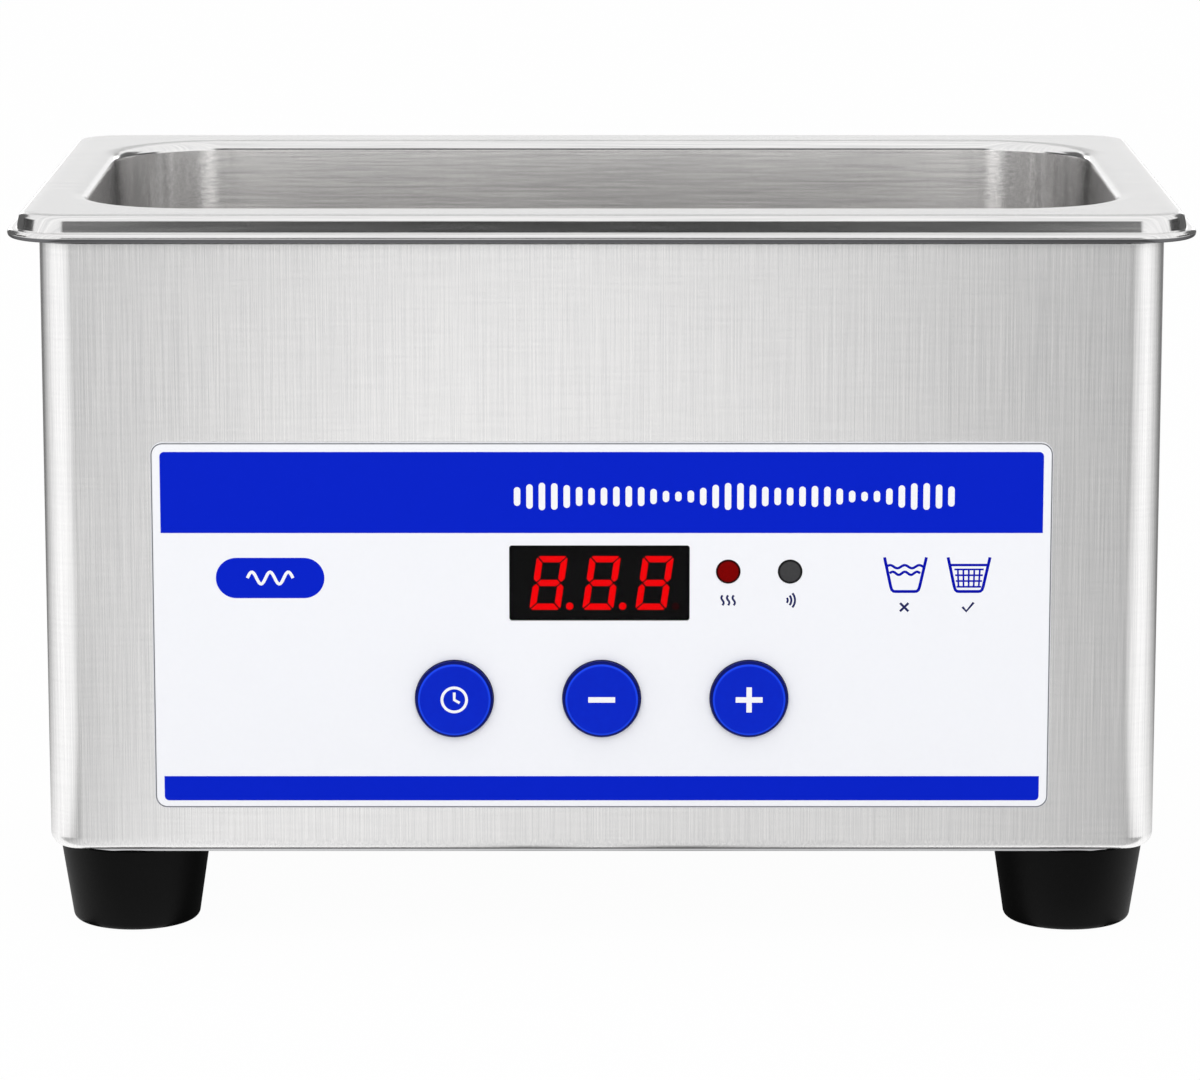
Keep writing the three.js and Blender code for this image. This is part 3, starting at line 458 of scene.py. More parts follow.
# %% Draw the tank
upper_rim = rounded_face("upper_rim", lip_size, LIP_CORNER, LIP_MIDDLE)
inset_along(upper_rim, lip_over + cove + rim_edge)
lower_rim = rounded_face("lower_rim", lip_size, LIP_CORNER, LIP_MIDDLE, up=False)
inset_along(lower_rim, hem, up=False)
mouth_size = tuple(side + 2 * mouth_in for side in BATH_WALL)
bath = rounded_face("bath", mouth_size, BATH_CORNER + mouth_in, RIM_TOP)
inset_along(bath, mouth + floor_turn, keep=True)
tank = join([upper_rim, lower_rim, bath], "tank_shell")
bridge(tank, RIM_TOP)
weld(tank)
apply_modifier(tank, "SOLIDIFY", thickness=SHEET, offset=-1, use_even_offset=True)
smooth(tank)
report(tank)

# %% [markdown]
# ## The folded housing
# The housing is a thin stainless shell, folded in at the top for the tank to rest on, and at
# the bottom for the base plate. A cube with bevelled edges would do for the outside, but its
# wall and its two openings would still be missing. It is made the way the tank is, and then
# its holes are cut with one Boolean, by cutters that are all one object.

# %% Sizes and section of the shell
WALL = 1.0 * MM
BODY_CORNER = 6.5 * MM
TOP_BEND = 1.2 * MM
BASE_BEND = 2.6 * MM
BASE_FLANGE = 14.0 * MM
BASE_CORNER = 36.0 * MM
BATH_HOLE = (190.4 * MM, 101.4 * MM)
BATH_HOLE_CORNER = 20.2 * MM

body_size = (housing_high.x - housing_low.x, housing_high.y - housing_low.y)
opening_size = tuple(side - 2 * BASE_FLANGE for side in body_size)
body_low, body_high = housing_low.z, housing_high.z
low_bend = body_low + BASE_BEND
wall_up = [(0, low_bend)] + arc((TOP_BEND, body_high - TOP_BEND), TOP_BEND, 0, 90, 6)
turn_under = arc((BASE_BEND, low_bend), BASE_BEND, 0, -90, 10)

# %% Fold the shell
walls = rounded_face("walls", body_size, BODY_CORNER, low_bend)
inset_along(walls, wall_up)
underside = rounded_face("underside", body_size, BODY_CORNER, low_bend, up=False)
inset_along(underside, turn_under, up=False)
bath_edge = rounded_face("bath_edge", BATH_HOLE, BATH_HOLE_CORNER, body_high)
base_edge = rounded_face("base_edge", opening_size, BASE_CORNER, body_low, up=False)
shell = join([walls, underside, bath_edge, base_edge], "housing_shell")
pick(shell, test=lambda middle: near(middle.x, 0) and near(middle.y, 0))
bpy.ops.mesh.delete(type="ONLY_FACE")
bridge(shell, body_high)
bridge(shell, body_low)
weld(shell)
apply_modifier(shell, "SOLIDIFY", thickness=WALL, offset=-1, use_even_offset=True)
report(shell)

# %% [markdown]
# ## Brushed steel
# The sheet is polished with a fine belt before it is folded, and the belt leaves scratches in
# one direction: up and down on the housing, and along the walls in the bath. One could paint
# them, but a noise that is long along the belt and short across it gives the same, on every
# wall at once. It varies the tone, the roughness and, a little, the height.

# %% Steel of the housing
STEEL_DARK = srgb(208, 208, 209)
STEEL_LIGHT = srgb(254, 253, 252)
# A darker steel tone, painted as shade under the tank's lip and on the hem's underside.
PAINTED_SHADE_STEEL = srgb(102, 102, 104)
HAIR = 0.00022          # across a scratch
BELT_HAIR = 0.00034     # across one in the bath
HAIR_LENGTH = 0.030     # along it, on the housing
BELT_LENGTH = 0.020     # along it, in the bath
SMUDGE = (0.09, 0.09, 0.06)
RIM_HALF = (99.0 * MM, 56.0 * MM)   # from here on the tank's sheet is rim, and no bath


def housing_steel():
    finish = Finish("housing_steel", {"Metallic": 1.0, "Anisotropic": 0.15})
    hairs = finish.noise((HAIR, HAIR, HAIR_LENGTH), detail=3.0, roughness=0.65)
    weft = finish.noise((0.012, 0.012, 0.0006))
    smudges = finish.noise(SMUDGE, detail=3.0)
    tone = hairs * 1.3 + weft * 0.25 + smudges * 0.2 - 0.275
    steel = finish.mix(tone, STEEL_DARK, STEEL_LIGHT)
    # Painted shade: the housing is mixed towards the darker tone over its top 3 mm, under the
    # tank's lip.
    painted_shade_under_lip = finish.axis("Z").above(body_high - 1.2 * MM, 1.6 * MM)
    finish.drive({"Base Color": finish.mix(painted_shade_under_lip * 0.35, steel, PAINTED_SHADE_STEEL),
                  "Roughness": 0.17 + hairs * 0.10 + smudges * 0.05})
    return finish.bump(hairs, 0.25, 0.00003)


# %% Steel of the tank
def tank_steel():
    finish = Finish("tank_steel", {"Metallic": 1.0})
    beside, before = [finish.axis(name).size().above(half, 1 * MM)
                      for name, half in zip("XY", RIM_HALF)]
    outside = beside.most(before)
    below = 1 - finish.axis("Z").above(RIM_TOP - MOUTH_ROUND, 0.5 * MM)
    inside = below * (1 - outside)
    rim_flat = finish.facing("Z").above(0.9, 0.08) * (1 - below)
    # Painted shade: faces that look down, such as the hem's underside, get the darker steel tone
    # outside the bath.
    hem = 1 - finish.facing("Z").above(-0.02, 0.15)
    along = finish.noise((BELT_LENGTH, BELT_HAIR, BELT_HAIR), detail=3.0, roughness=0.65)
    across = finish.noise((BELT_HAIR, BELT_LENGTH, BELT_HAIR), detail=3.0, roughness=0.65)
    belt = finish.blend(finish.facing("X").size().above(0.7, 0.1), along, across)
    satin = finish.noise((0.030, HAIR, 0.01), detail=3.0, roughness=0.6)
    smudges = finish.noise(SMUDGE, detail=3.0)
    hairs = finish.blend(inside, satin, belt)
    tone = hairs * (1.2 + inside * 0.5) + smudges * 0.3 - (0.15 + inside * 0.12)
    rough = 0.13 + rim_flat * 0.08 + hairs * 0.05 + smudges * 0.04
    steel = finish.mix(tone, STEEL_DARK, STEEL_LIGHT)
    finish.drive({"Base Color": finish.mix(hem * outside, steel, PAINTED_SHADE_STEEL),
                  "Roughness": rough})
    return finish.bump(hairs, 0.03, 0.00003)


TANK_STEEL = tank_steel()
HOUSING_STEEL = housing_steel()
print("steel tones", [round(x, 3) for x in STEEL_DARK], "to", [round(x, 3) for x in STEEL_LIGHT])

# %% [markdown]
# ## Round pieces and cuts
# Feet, keys and lamps are turned or moulded round. A spin about their axis would do, but a ring
# on a round face is inset just as one on a folded shell, so the same list of section points
# serves both. A piece for the front is modelled lying on its back, with Z pointing out of the
# panel, and stood up when it is done.


# %% Round faces and closed solids
def round_face(name, radius, z, up=True, sides=64, centre=(0, 0)):
    """A flat round face, looking up or down."""
    bpy.ops.object.select_all(action="DESELECT")
    bpy.ops.mesh.primitive_circle_add(vertices=sides, radius=radius, fill_type="NGON",
                                      location=(*centre, z))
    return look(settle(bpy.context.object, name), up)


def solid(name, outline, upper, lower):
    """Closes a solid from its widest outline, by one section upwards and one downwards.

    outline(z, up) gives the first face.
    """
    top = inset_along(outline(upper[0][1], True), upper, keep=True)
    bottom = inset_along(outline(lower[0][1], False), lower, up=False, keep=True)
    return weld(join([top, bottom], name))


def turned(name, radius, upper, lower, centre=(0, 0), sides=64):
    """A round piece, from its sections of (inwards, z) points."""
    return solid(name, lambda z, up: round_face(name, radius, z, up, sides, centre), upper, lower)


def slab(name, size, corner, upper, lower, centre=(0, 0), steps=6):
    """The same for a piece with straight sides and rounded corners."""
    return solid(name, lambda z, up: rounded_face(name, size, corner, z, up, steps, centre),
                 upper, lower)


# %% Stand a piece up, and cut into it
def stand(piece, side="front"):
    """Stands a piece that was modelled on its back against the front or the rear wall."""
    if side == "front":
        piece.rotation_euler = (math.pi / 2, 0, 0)
        piece.location = (0, housing_low.y, PANEL_FOOT)
    else:
        piece.rotation_euler = (math.pi / 2, 0, math.pi)
        piece.location = (0, housing_high.y, REAR_HEIGHT)
    return settle(piece)


def cut(piece, cutters):
    """Cuts all the cutters out of a piece in one Boolean."""
    tool = join(cutters, "cutter")
    apply_modifier(piece, "BOOLEAN", object=tool, operation="DIFFERENCE", solver="EXACT")
    bpy.data.objects.remove(tool)
    return piece


PANEL_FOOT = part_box("control_panel")[0].z
REAR_HEIGHT = 46.5 * MM
print("panel foot at", round(PANEL_FOOT / MM, 2), "mm")

# %% [markdown]
# ## Openings of the housing
# A punch press makes the openings for the keys, the lamps, the display, the mains inlet, the
# switch, the vents and the screws. Each cutter here is a plug of the opening's own outline. They
# are joined first, so that the shell meets one cutter only and keeps clean walls.

# %% Openings and their cutters
KEYS = {"set": -26.3 * MM, "minus": 0.0, "plus": 26.3 * MM}
KEY_HEIGHT = 20.1 * MM
LAMPS = {"heating": 22.5 * MM, "ultrasonic": 33.5 * MM}
LAMP_HEIGHT = 43.2 * MM
WINDOW = (-0.4 * MM, 41.1 * MM)
LAMP_HOLE = 2.2 * MM
INLET = -62.0 * MM              # seen from behind, the inlet is on the left
INLET_SCREWS = 20.0 * MM        # to each side of the inlet's middle
ROCKER = -22.0 * MM
VENT = (3.0 * MM, 22.0 * MM)
VENT_MIDDLE = 52.0 * MM
VENT_PITCH = 6.5 * MM
VENT_COUNT = 8
FOOT_PLACE = (85.2 * MM, 40.5 * MM)
THROUGH = 4.0 * MM


def plug(size, corner, centre):
    """A cutter through a wall that lies on its back."""
    return slab("plug", size, corner, [(0, -THROUGH), (0, THROUGH)], [(0, -THROUGH)], centre)


def round_plug(radius, centre, sides=48):
    return turned("plug", radius, [(0, -THROUGH), (0, THROUGH)], [(0, -THROUGH)], centre, sides)


def front_plugs(window, window_corner, key_radius, key_sides=48):
    """Cutters for the display, the lamps and the keys, which both housing and panel have."""
    plugs = [plug(window, window_corner, WINDOW)]
    plugs += [round_plug(LAMP_HOLE, (x, LAMP_HEIGHT)) for x in LAMPS.values()]
    return plugs + [round_plug(key_radius, (x, KEY_HEIGHT), key_sides) for x in KEYS.values()]


# %% Cut the housing
front_cuts = front_plugs((33.0 * MM, 14.6 * MM), 0.6 * MM, 7.25 * MM)
rear_cuts = [plug((28.6 * MM, 20.6 * MM), 1.0 * MM, (INLET, 0)),
             plug((13.6 * MM, 19.6 * MM), 0.6 * MM, (ROCKER, 0))]
rear_cuts += [round_plug(1.85 * MM, (INLET + side * INLET_SCREWS, 0)) for side in (-1, 1)]
first_vent = VENT_MIDDLE - VENT_PITCH * (VENT_COUNT - 1) / 2
vent_places = [(first_vent + VENT_PITCH * i, 0) for i in range(VENT_COUNT)]
rear_cuts += [plug(VENT, VENT[0] / 2 - 0.01 * MM, place) for place in vent_places]
foot_places = [(x * FOOT_PLACE[0], y * FOOT_PLACE[1]) for x in (-1, 1) for y in (-1, 1)]
base_cuts = [round_plug(2.35 * MM, place, 24) for place in foot_places]
for cutter in base_cuts:
    cutter.location.z = housing_low.z
cutters = [stand(cutter) for cutter in front_cuts]
cutters += [stand(cutter, "rear") for cutter in rear_cuts]
print(len(cutters) + len(base_cuts), "openings in the housing")
cut(shell, cutters + [settle(cutter) for cutter in base_cuts])
smooth(shell)
report(shell)
dress(shell, HOUSING_STEEL, ["housing"])
dress(tank, TANK_STEEL, ["tank"])

# %% [markdown]
# ## The control panel
# The panel is a thin printed plate, stuck to the front. Its print could be a pattern in the
# plate's material, but a pattern is only as sharp as the picture it is baked to. So each printed
# shape is a piece of ink, 0.03 mm thick, on a plate with a slightly rounded edge.

# %% Satin print
PLATE_OUT = 0.65 * MM
PLATE_BACK = 0.05 * MM
INK = 0.03 * MM
PANEL_SIZE = (160.0 * MM, 66.5 * MM)
PANEL_CORNER = 2.2 * MM
PANEL_EDGE = 0.18 * MM
BLUE = srgb(0, 33, 202)
NAVY = srgb(34, 38, 92)


def printed(name, colour, roughness=0.38):
    """Satin print: a plain colour with the faint orange peel of screen printing."""
    finish = Finish(name, {"Specular IOR Level": 0.05})
    peel = finish.noise(0.0009)
    clouds = finish.noise(0.05)
    shade = tuple(level * 0.95 for level in colour)
    tone = peel * 0.3 + clouds * 0.5
    finish.drive({"Base Color": finish.mix(tone, colour, shade),
                  "Roughness": roughness + peel * 0.08})
    return finish.bump(peel, 0.10, 0.00003)


PANEL_WHITE = printed("panel_white", srgb(248, 249, 253))
PANEL_BLUE = printed("panel_blue", BLUE, roughness=0.42)
PANEL_NAVY = printed("panel_navy", NAVY)
# A grey for the painted shade along the plate's edge.
PANEL_EDGE_SHADE = printed("painted_edge_shade_grey", srgb(120, 122, 128))
INK_WHITE = printed("ink_white", srgb(250, 250, 253))

# %% Model the plate
plate_start = (0, PLATE_BACK + 0.1 * MM)
plate_top = [plate_start, (0, PLATE_OUT - PANEL_EDGE),
             (PANEL_EDGE * 0.3, PLATE_OUT - PANEL_EDGE * 0.3), (PANEL_EDGE, PLATE_OUT)]
plate_foot = [plate_start, (0, PLATE_BACK)]
plate_middle = (0, PANEL_SIZE[1] / 2)
panel = slab("panel_plate", PANEL_SIZE, PANEL_CORNER, plate_top, plate_foot, plate_middle, 8)
cut(panel, front_plugs((32.1 * MM, 13.7 * MM), 0.5 * MM, 7.08 * MM, 64))
smooth(stand(panel))
report(panel)
dress(panel, PANEL_WHITE, ["control_panel"])

# %% [markdown]
# ## Bands and signs in ink
# The plate has a deep blue band along the top, a narrow one along the foot and a blue badge.
# A band is a flat face with two rounded corners, extruded by the ink's thickness. A line is a
# curve with a round section, made a mesh and pressed flat.


# %% Flat shapes of ink
def raise_ink(piece, ground=PLATE_OUT):
    """Extrudes a flat shape by the thickness of the ink, and puts it on its ground."""
    pick(piece)
    bpy.ops.mesh.extrude_region_move(TRANSFORM_OT_translate={"value": (0, 0, INK)})
    done(piece)
    piece.location.z = ground
    return weld(settle(piece))


def rectangle(name, low, high):
    """A flat rectangle between two corners."""
    middle = [(a + b) / 2 for a, b in zip(low, high)]
    return flat(name, (high[0] - low[0], high[1] - low[1]), (*middle, 0))


# %% Lines of ink
def line(name, points, width, closed=False, ground=PLATE_OUT):
    """A drawn line of one width through points on the plate, as flat ink."""
    curve = bpy.data.curves.new(name, "CURVE")
    curve.dimensions = "3D"
    curve.bevel_depth = width / 2
    curve.bevel_resolution = 2
    curve.use_fill_caps = True
    path = curve.splines.new("POLY")
    path.points.add(len(points) - 1)
    path.use_cyclic_u = closed
    for point, place in zip(path.points, points):
        point.co = (*place, 0, 1)
    piece = bpy.data.objects.new(name, curve)
    bpy.context.scene.collection.objects.link(piece)
    activate(piece)
    bpy.ops.object.convert(target="MESH")
    piece = bpy.context.object
    piece.scale.z = INK / (width / 2)
    piece.location.z = ground
    return settle(piece, name)


def ellipse(centre, radius, start=0, end=360, count=32):
    """Points of a circle or of a part of it, from one angle to another in degrees."""
    angles = [math.radians(start + (end - start) * i / count) for i in range(count + 1)]
    return [(centre[0] + radius * math.cos(a), centre[1] + radius * math.sin(a)) for a in angles]


def ripple(start, end, height, waves, count=36):
    """Points of a wave from one place to another."""
    points = []
    for i in range(count + 1):
        share = i / count
        rise = height * math.sin(2 * math.pi * waves * share)
        points.append((start[0] + (end[0] - start[0]) * share, start[1] + rise))
    return points


def mm(*pairs):
    """Places given in millimetres over the plate's foot, in metres."""
    return [(x * MM, z * MM) for x, z in pairs]


def ink(pieces, name, finish, body="cleaner"):
    """Joins the ink of one colour, stands it on the front and dresses it."""
    return dress(smooth(stand(join(pieces, name))), finish, body=body)


# %% Print the bands and the badge
BAND_CORNER = 0.8 * MM
top_band = rectangle("top_band", *mm((-78.3, 50.2), (78.3, 64.8)))
round_corners(top_band, BAND_CORNER, 6, lambda place: place.y > 57 * MM)
foot_band = rectangle("foot_band", *mm((-78.3, 1.4), (78.3, 5.85)))
round_corners(foot_band, BAND_CORNER, 6, lambda place: place.y < 3 * MM)
badge = round_corners(rectangle("badge", *mm((-68.6, 38.4), (-49.3, 45.7))), 3.64 * MM, 12)
ink([raise_ink(piece) for piece in (top_band, foot_band, badge)], "blue_print", PANEL_BLUE)

# %% Print the row of bars and the wave
BAR_FIELD = (-15.0, 62.0, 54.2, 59.4)   # left, right, foot and top of the row of bars
BAR_PITCH = 2.2
BAR_WIDTH = 1.15


def sound_bars():
    """A row of rounded bars whose heights swell and fade as a sound does."""
    left, right, foot, top = BAR_FIELD
    bars = []
    for i in range(int((right - left) / BAR_PITCH) + 1):
        swell = 0.5 + 0.5 * math.sin(i * 0.62) * math.cos(i * 0.21)
        half = (top - foot) / 2 * (0.3 + 0.7 * swell)
        x, z = left + i * BAR_PITCH, (foot + top) / 2
        ends = mm((x - BAR_WIDTH / 2, z - half), (x + BAR_WIDTH / 2, z + half))
        bar = round_corners(rectangle("bar", *ends), BAR_WIDTH / 2 * 0.98 * MM, 4)
        bars.append(raise_ink(bar, PLATE_OUT + INK))
    return bars


badge_wave = line("wave", ripple(*mm((-63.0, 42.05), (-54.9, 42.05)), 1.1 * MM, 2.5),
                  0.55 * MM, ground=PLATE_OUT + INK)
ink(sound_bars() + [badge_wave], "white_print", INK_WHITE)

# %% Print the two tubs
TUB_LINE = 0.54 * MM
SIGN_BLUE = printed("sign_blue", srgb(0, 12, 172))


def tub(left, right):
    """The outline of a tub with leaning sides, in millimetres."""
    side = mm((left - 0.2, 45.8), (left + 0.95, 40.5), (left + 1.15, 39.9),
              (left + 1.45, 39.65), (left + 1.8, 39.6))
    other = [((left + right) * MM - x, z) for x, z in reversed(side)]
    return line("tub", side + other, TUB_LINE)


def waterline(left, right, height):
    waves = ripple(*mm((left, height), (right, height)), 0.28 * MM, 2.5)
    return line("water", waves, TUB_LINE * 0.85)


signs = [tub(50.45, 57.5), tub(61.75, 68.8)]
signs += [waterline(50.6, 57.1, 44.1), waterline(51.2, 56.6, 42.9)]
signs.append(line("water", mm((61.95, 44.4), (68.55, 44.4)), TUB_LINE * 0.85))
for i in range(5):
    x = 63.3 + 0.98 * i
    signs.append(line("basket", mm((x, 43.7), (x + (65.3 - x) * 0.08, 40.45)), TUB_LINE * 0.6))
for i in range(4):
    z, lean = 43.6 - 1.05 * i, 0.14 * i
    signs.append(line("basket", mm((62.7 + lean, z), (67.9 - lean, z)), TUB_LINE * 0.6))
ink(signs, "tub_signs", SIGN_BLUE)

# %% Print the small marks
SIGN_LINE = 0.42 * MM
marks = [line("cross", mm((53.1, 36.0), (54.6, 37.5)), SIGN_LINE)]
marks += [line("cross", mm((53.1, 37.5), (54.6, 36.0)), SIGN_LINE)]
marks += [line("tick", mm((64.2, 36.8), (64.9, 36.0), (66.2, 37.6)), SIGN_LINE)]
for x in (21.5, 22.5, 23.5):
    rise = [(x * MM + 0.22 * MM * math.sin(t * 0.7), (37.1 + t * 0.2) * MM) for t in range(10)]
    marks.append(line("warmth", rise, SIGN_LINE * 0.9))
for radius in (0.7, 1.35, 2.0):
    arcs = ellipse((32.4 * MM, 38.0 * MM), radius * MM, -40, 40, 10)
    marks.append(line("sound", arcs, SIGN_LINE * 0.9))
ink(marks, "navy_signs", PANEL_NAVY)

# %% Paint a shade line along the panel's edge
corner = [side / 2 - PANEL_CORNER for side in PANEL_SIZE]
quarter = ellipse(corner, PANEL_CORNER - 0.22 * MM, 0, 90, 8)
ring = quarter + [(-x, z) for x, z in reversed(quarter)]
ring += [(-x, -z) for x, z in quarter] + [(x, -z) for x, z in reversed(quarter)]
# Painted shade: a thin grey line just inside the plate's edge stands in for the shade of that edge.
edge_shade_line = line("edge_shade_line", [(x, z + plate_middle[1]) for x, z in ring], 0.22 * MM, closed=True)
ink([edge_shade_line], "painted_edge_shade", PANEL_EDGE_SHADE)
print("bands, badge, bars, tubs and marks are printed")

# %% [markdown]
# ## Display and lamps
# The display is a black block with raised bars that glow, behind a tinted lens. Each figure is
# seven bars with mitred ends, leaned over as such displays are. A bar is a flat rectangle whose
# corners are cut off, each as far as its neighbours need, so the middle bar ends in two points.

# %% Figures of seven bars
FIGURE = (5.5 * MM, 9.75 * MM)
BAR = 1.13 * MM
MITRE_GAP = 0.19 * MM
BLUNT = 0.5 * MM        # cut off each outer corner of a figure
FIGURE_PITCH = 9.43 * MM
FIRST_FIGURE = (-12.9 * MM, 36.15 * MM)
FIRST_POINT = (-5.7 * MM, 36.8 * MM)
LEAN = math.tan(math.radians(8.2))
DISPLAY_FACE = -0.02 * MM


def figure_bar(low, high, cuts):
    """A bar between two places, with a cut of its own at each of its four corners.

    cuts holds the cuts at lower left, lower right, upper left and upper right.
    """
    piece = rectangle("bar", low, high)
    corners = [(x, z) for z in (low[1], high[1]) for x in (low[0], high[0])]
    for (x, z), size in zip(corners, cuts):
        round_corners(piece, size * 0.99, 1, lambda place: near(place.x, x) and near(place.y, z))
    return raise_ink(piece, DISPLAY_FACE)


def figure(left, foot):
    """One figure with all its seven bars."""
    right, top = left + FIGURE[0], foot + FIGURE[1]
    middle = (foot + top) / 2
    start = (BLUNT + MITRE_GAP) / 2
    outer = (BLUNT - MITRE_GAP) / 2
    inner = BAR - outer
    half = BAR / 2
    inset = half + MITRE_GAP
    bars = [figure_bar((left + start, foot), (right - start, foot + BAR),
                       (outer, outer, inner, inner)),
            figure_bar((left + start, top - BAR), (right - start, top),
                       (inner, inner, outer, outer)),
            figure_bar((left + inset, middle - half), (right - inset, middle + half),
                       (half, half, half, half))]
    for x, ends in ((left, (outer, inner)), (right - BAR, (inner, outer))):
        bars.append(figure_bar((x, foot + start), (x + BAR, middle - MITRE_GAP),
                               (*ends, half, half)))
        bars.append(figure_bar((x, middle + MITRE_GAP), (x + BAR, top - start),
                               (half, half, *ends)))
    whole = join(bars, "figure")
    lean = Matrix(((1, LEAN, 0, -LEAN * foot), (0, 1, 0, 0), (0, 0, 1, 0), (0, 0, 0, 1)))
    whole.data.transform(lean)
    return whole


def point(number):
    """The round point after a figure, the first of which has the number 0."""
    place = (FIRST_POINT[0] + FIGURE_PITCH * number, FIRST_POINT[1])
    return turned("point", 0.66 * MM, [(0, DISPLAY_FACE), (0, DISPLAY_FACE + INK)],
                  [(0, DISPLAY_FACE)], place, 32)


# %% Model the display
module_low, module_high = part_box("display_module")
module_size = (module_high.x - module_low.x, module_high.z - module_low.z)
depth = module_high.y - housing_low.y
block = slab("display_block", module_size, 0.3 * MM, [(0, -depth / 2), (0, DISPLAY_FACE)],
             [(0, -depth / 2), (0, -depth)], WINDOW)
smooth(stand(block))

glow_red = Finish("figure_glow", {"Base Color": srgb(160, 0, 0), "Roughness": 0.5,
                                  "Specular IOR Level": 0.05})
grain = glow_red.noise(0.0008)
red = glow_red.mix(grain, srgb(255, 0, 0), srgb(255, 0, 8))
FIGURE_GLOW = glow_red.drive({"Emission Color": red, "Emission Strength": 1.35})

display_finish = Finish("display_black", {"Specular IOR Level": 0.1})
dust = display_finish.noise(0.0012, detail=3.0)
display_finish.drive({"Base Color": display_finish.mix(dust, srgb(14, 14, 15), srgb(24, 24, 25)),
                      "Roughness": 0.45 + dust * 0.2})
DISPLAY_BLACK = display_finish.bump(dust, 0.1, 0.00002)
dress(block, DISPLAY_BLACK, ["display_module"])

figures = [figure(FIRST_FIGURE[0] + FIGURE_PITCH * i, FIRST_FIGURE[1]) for i in range(3)]
figures += [point(i) for i in range(2)]
dress(stand(join(figures, "display_figures")), FIGURE_GLOW)
unlit = settle(stand(point(2)), "unlit_point")
dress(unlit, printed("unlit_red", srgb(66, 6, 8)))

# %% Model the lens
LENS_SIZE = (31.8 * MM, 13.4 * MM)
lens_top = [(0, 0.15 * MM), (0, 0.43 * MM), (0.12 * MM, 0.55 * MM)]
lens_foot = [(0, 0.15 * MM), (0, 0.05 * MM)]
lens = slab("tinted_window", LENS_SIZE, 0.45 * MM, lens_top, lens_foot, WINDOW, 4)
smooth(stand(lens))
lens_finish = Finish("tinted_lens", {"Base Color": (0.003, 0.003, 0.003),
                                     "Specular IOR Level": 0.05})
haze = lens_finish.noise(0.02)
TINTED_LENS = lens_finish.drive({"Alpha": 0.24 + haze * 0.04, "Roughness": 0.06 + haze * 0.06})
dress(lens, TINTED_LENS, ["display_lens"])


# %% Model the lamps
def lamp_finish(name, core, rim):
    finish = Finish(name, {"Specular IOR Level": 0.03})
    speck = finish.noise(0.0006, detail=3.0)
    # Painted shade: where the lamp turns away from the front, at the dome's edge and on its sides,
    # its colour is darkened to a third of the rim colour.
    turned_away = finish.facing("Y").above(-0.8, 0.2)
    outer = tuple(level * 0.3 for level in rim)
    finish.drive({"Base Color": finish.mix(turned_away, finish.mix(speck, core, rim), outer),
                  "Roughness": 0.3 + speck * 0.12})
    return finish.bump(speck, 0.06, 0.00002)


LAMP_COLOURS = {"heating": ("led_red", srgb(134, 0, 0), srgb(112, 0, 0)),
                "ultrasonic": ("led_grey", srgb(71, 71, 72), srgb(61, 61, 62))}
LAMP_RADIUS = 2.05 * MM
LAMP_TOP = 0.9 * MM
LAMP_SEAM = -3.2 * MM
DOME = 0.55 * MM

lamp_top = [(0, LAMP_SEAM)] + arc((DOME, LAMP_TOP - DOME), DOME, 0, 74, 6)
lamp_top += [(1.2 * MM, LAMP_TOP - 0.012 * MM), (1.85 * MM, LAMP_TOP)]
lamp_foot = [(0, LAMP_SEAM), (0, -4.3 * MM)]
for name, x in LAMPS.items():
    led = turned(f"{name}_lamp", LAMP_RADIUS, lamp_top, lamp_foot, (x, LAMP_HEIGHT), 48)
    smooth(stand(led), 50)
    slot, *colours = LAMP_COLOURS[name]
    dress(led, lamp_finish(slot, *colours), [f"{name}_led"])
    report(led)

# %% [markdown]
# ## The three keys
# Each key is moulded from blue plastic: a flange behind the panel keeps it in, and its face has
# a shoulder, a narrow chamfer and a shallow dish. The shoulder is painted dark blue as painted
# shade, and the chamfer a lighter blue as a painted highlight. The same section is inset round a
# circle three times, and each key has its own white sign, which rides with it.

# %% The section of a key
KEY_RADIUS = 6.95 * MM
FLANGE = 8.25 * MM
FLANGE_TOP = -1.15 * MM
KEY_TOP = 1.95 * MM
DISH = 1.83 * MM
# The shoulder's cone is painted a dark blue below, as painted shade.
SHOULDER = (0.48 * MM, 0.34 * MM)   # the darker cone round the face, across and high
CHAMFER = (0.32 * MM, 0.15 * MM)

in_wall = FLANGE - KEY_RADIUS
chamfer_in = in_wall + SHOULDER[0]
face_in = chamfer_in + CHAMFER[0]
chamfer_foot = KEY_TOP - CHAMFER[1]
shoulder_foot = KEY_TOP - SHOULDER[1] - CHAMFER[1]
key_section = [(0, FLANGE_TOP), (in_wall, FLANGE_TOP),
               (in_wall, shoulder_foot - 0.1 * MM), (in_wall + 0.03 * MM, shoulder_foot),
               (chamfer_in - 0.03 * MM, chamfer_foot - 0.02 * MM), (chamfer_in, chamfer_foot),
               (face_in, KEY_TOP - 0.02 * MM), (face_in + 0.06 * MM, KEY_TOP),
               (face_in + 0.5 * MM, KEY_TOP - 0.01 * MM),
               (chamfer_in + 3.0 * MM, DISH), (in_wall + 4.5 * MM, DISH)]
key_back = [(0, FLANGE_TOP), (0, -2.15 * MM), (6.25 * MM, -2.15 * MM), (6.25 * MM, -2.6 * MM)]

# %% Blue plastic
blue_finish = Finish("button_blue", {"Specular IOR Level": 0.07})
mould = blue_finish.noise(0.0012, detail=3.0)
face_blue = blue_finish.mix(mould, srgb(0, 34, 194), srgb(0, 40, 202))
tilt = blue_finish.facing("Y")
# Painted highlight: the chamfer, turned a little from the front, is painted a lighter blue.
blue_with_painted_highlight = blue_finish.mix(tilt.above(-0.955, 0.02), face_blue, srgb(22, 66, 232))
# Painted shade: the steeper shoulder round the face is painted a dark blue.
blue_with_painted_light = blue_finish.mix(tilt.above(-0.86, 0.03), blue_with_painted_highlight, srgb(0, 14, 104))
blue_finish.drive({"Base Color": blue_with_painted_light, "Roughness": 0.30 + mould * 0.10})
BUTTON_BLUE = blue_finish.bump(mould, 0.05, 0.00002)


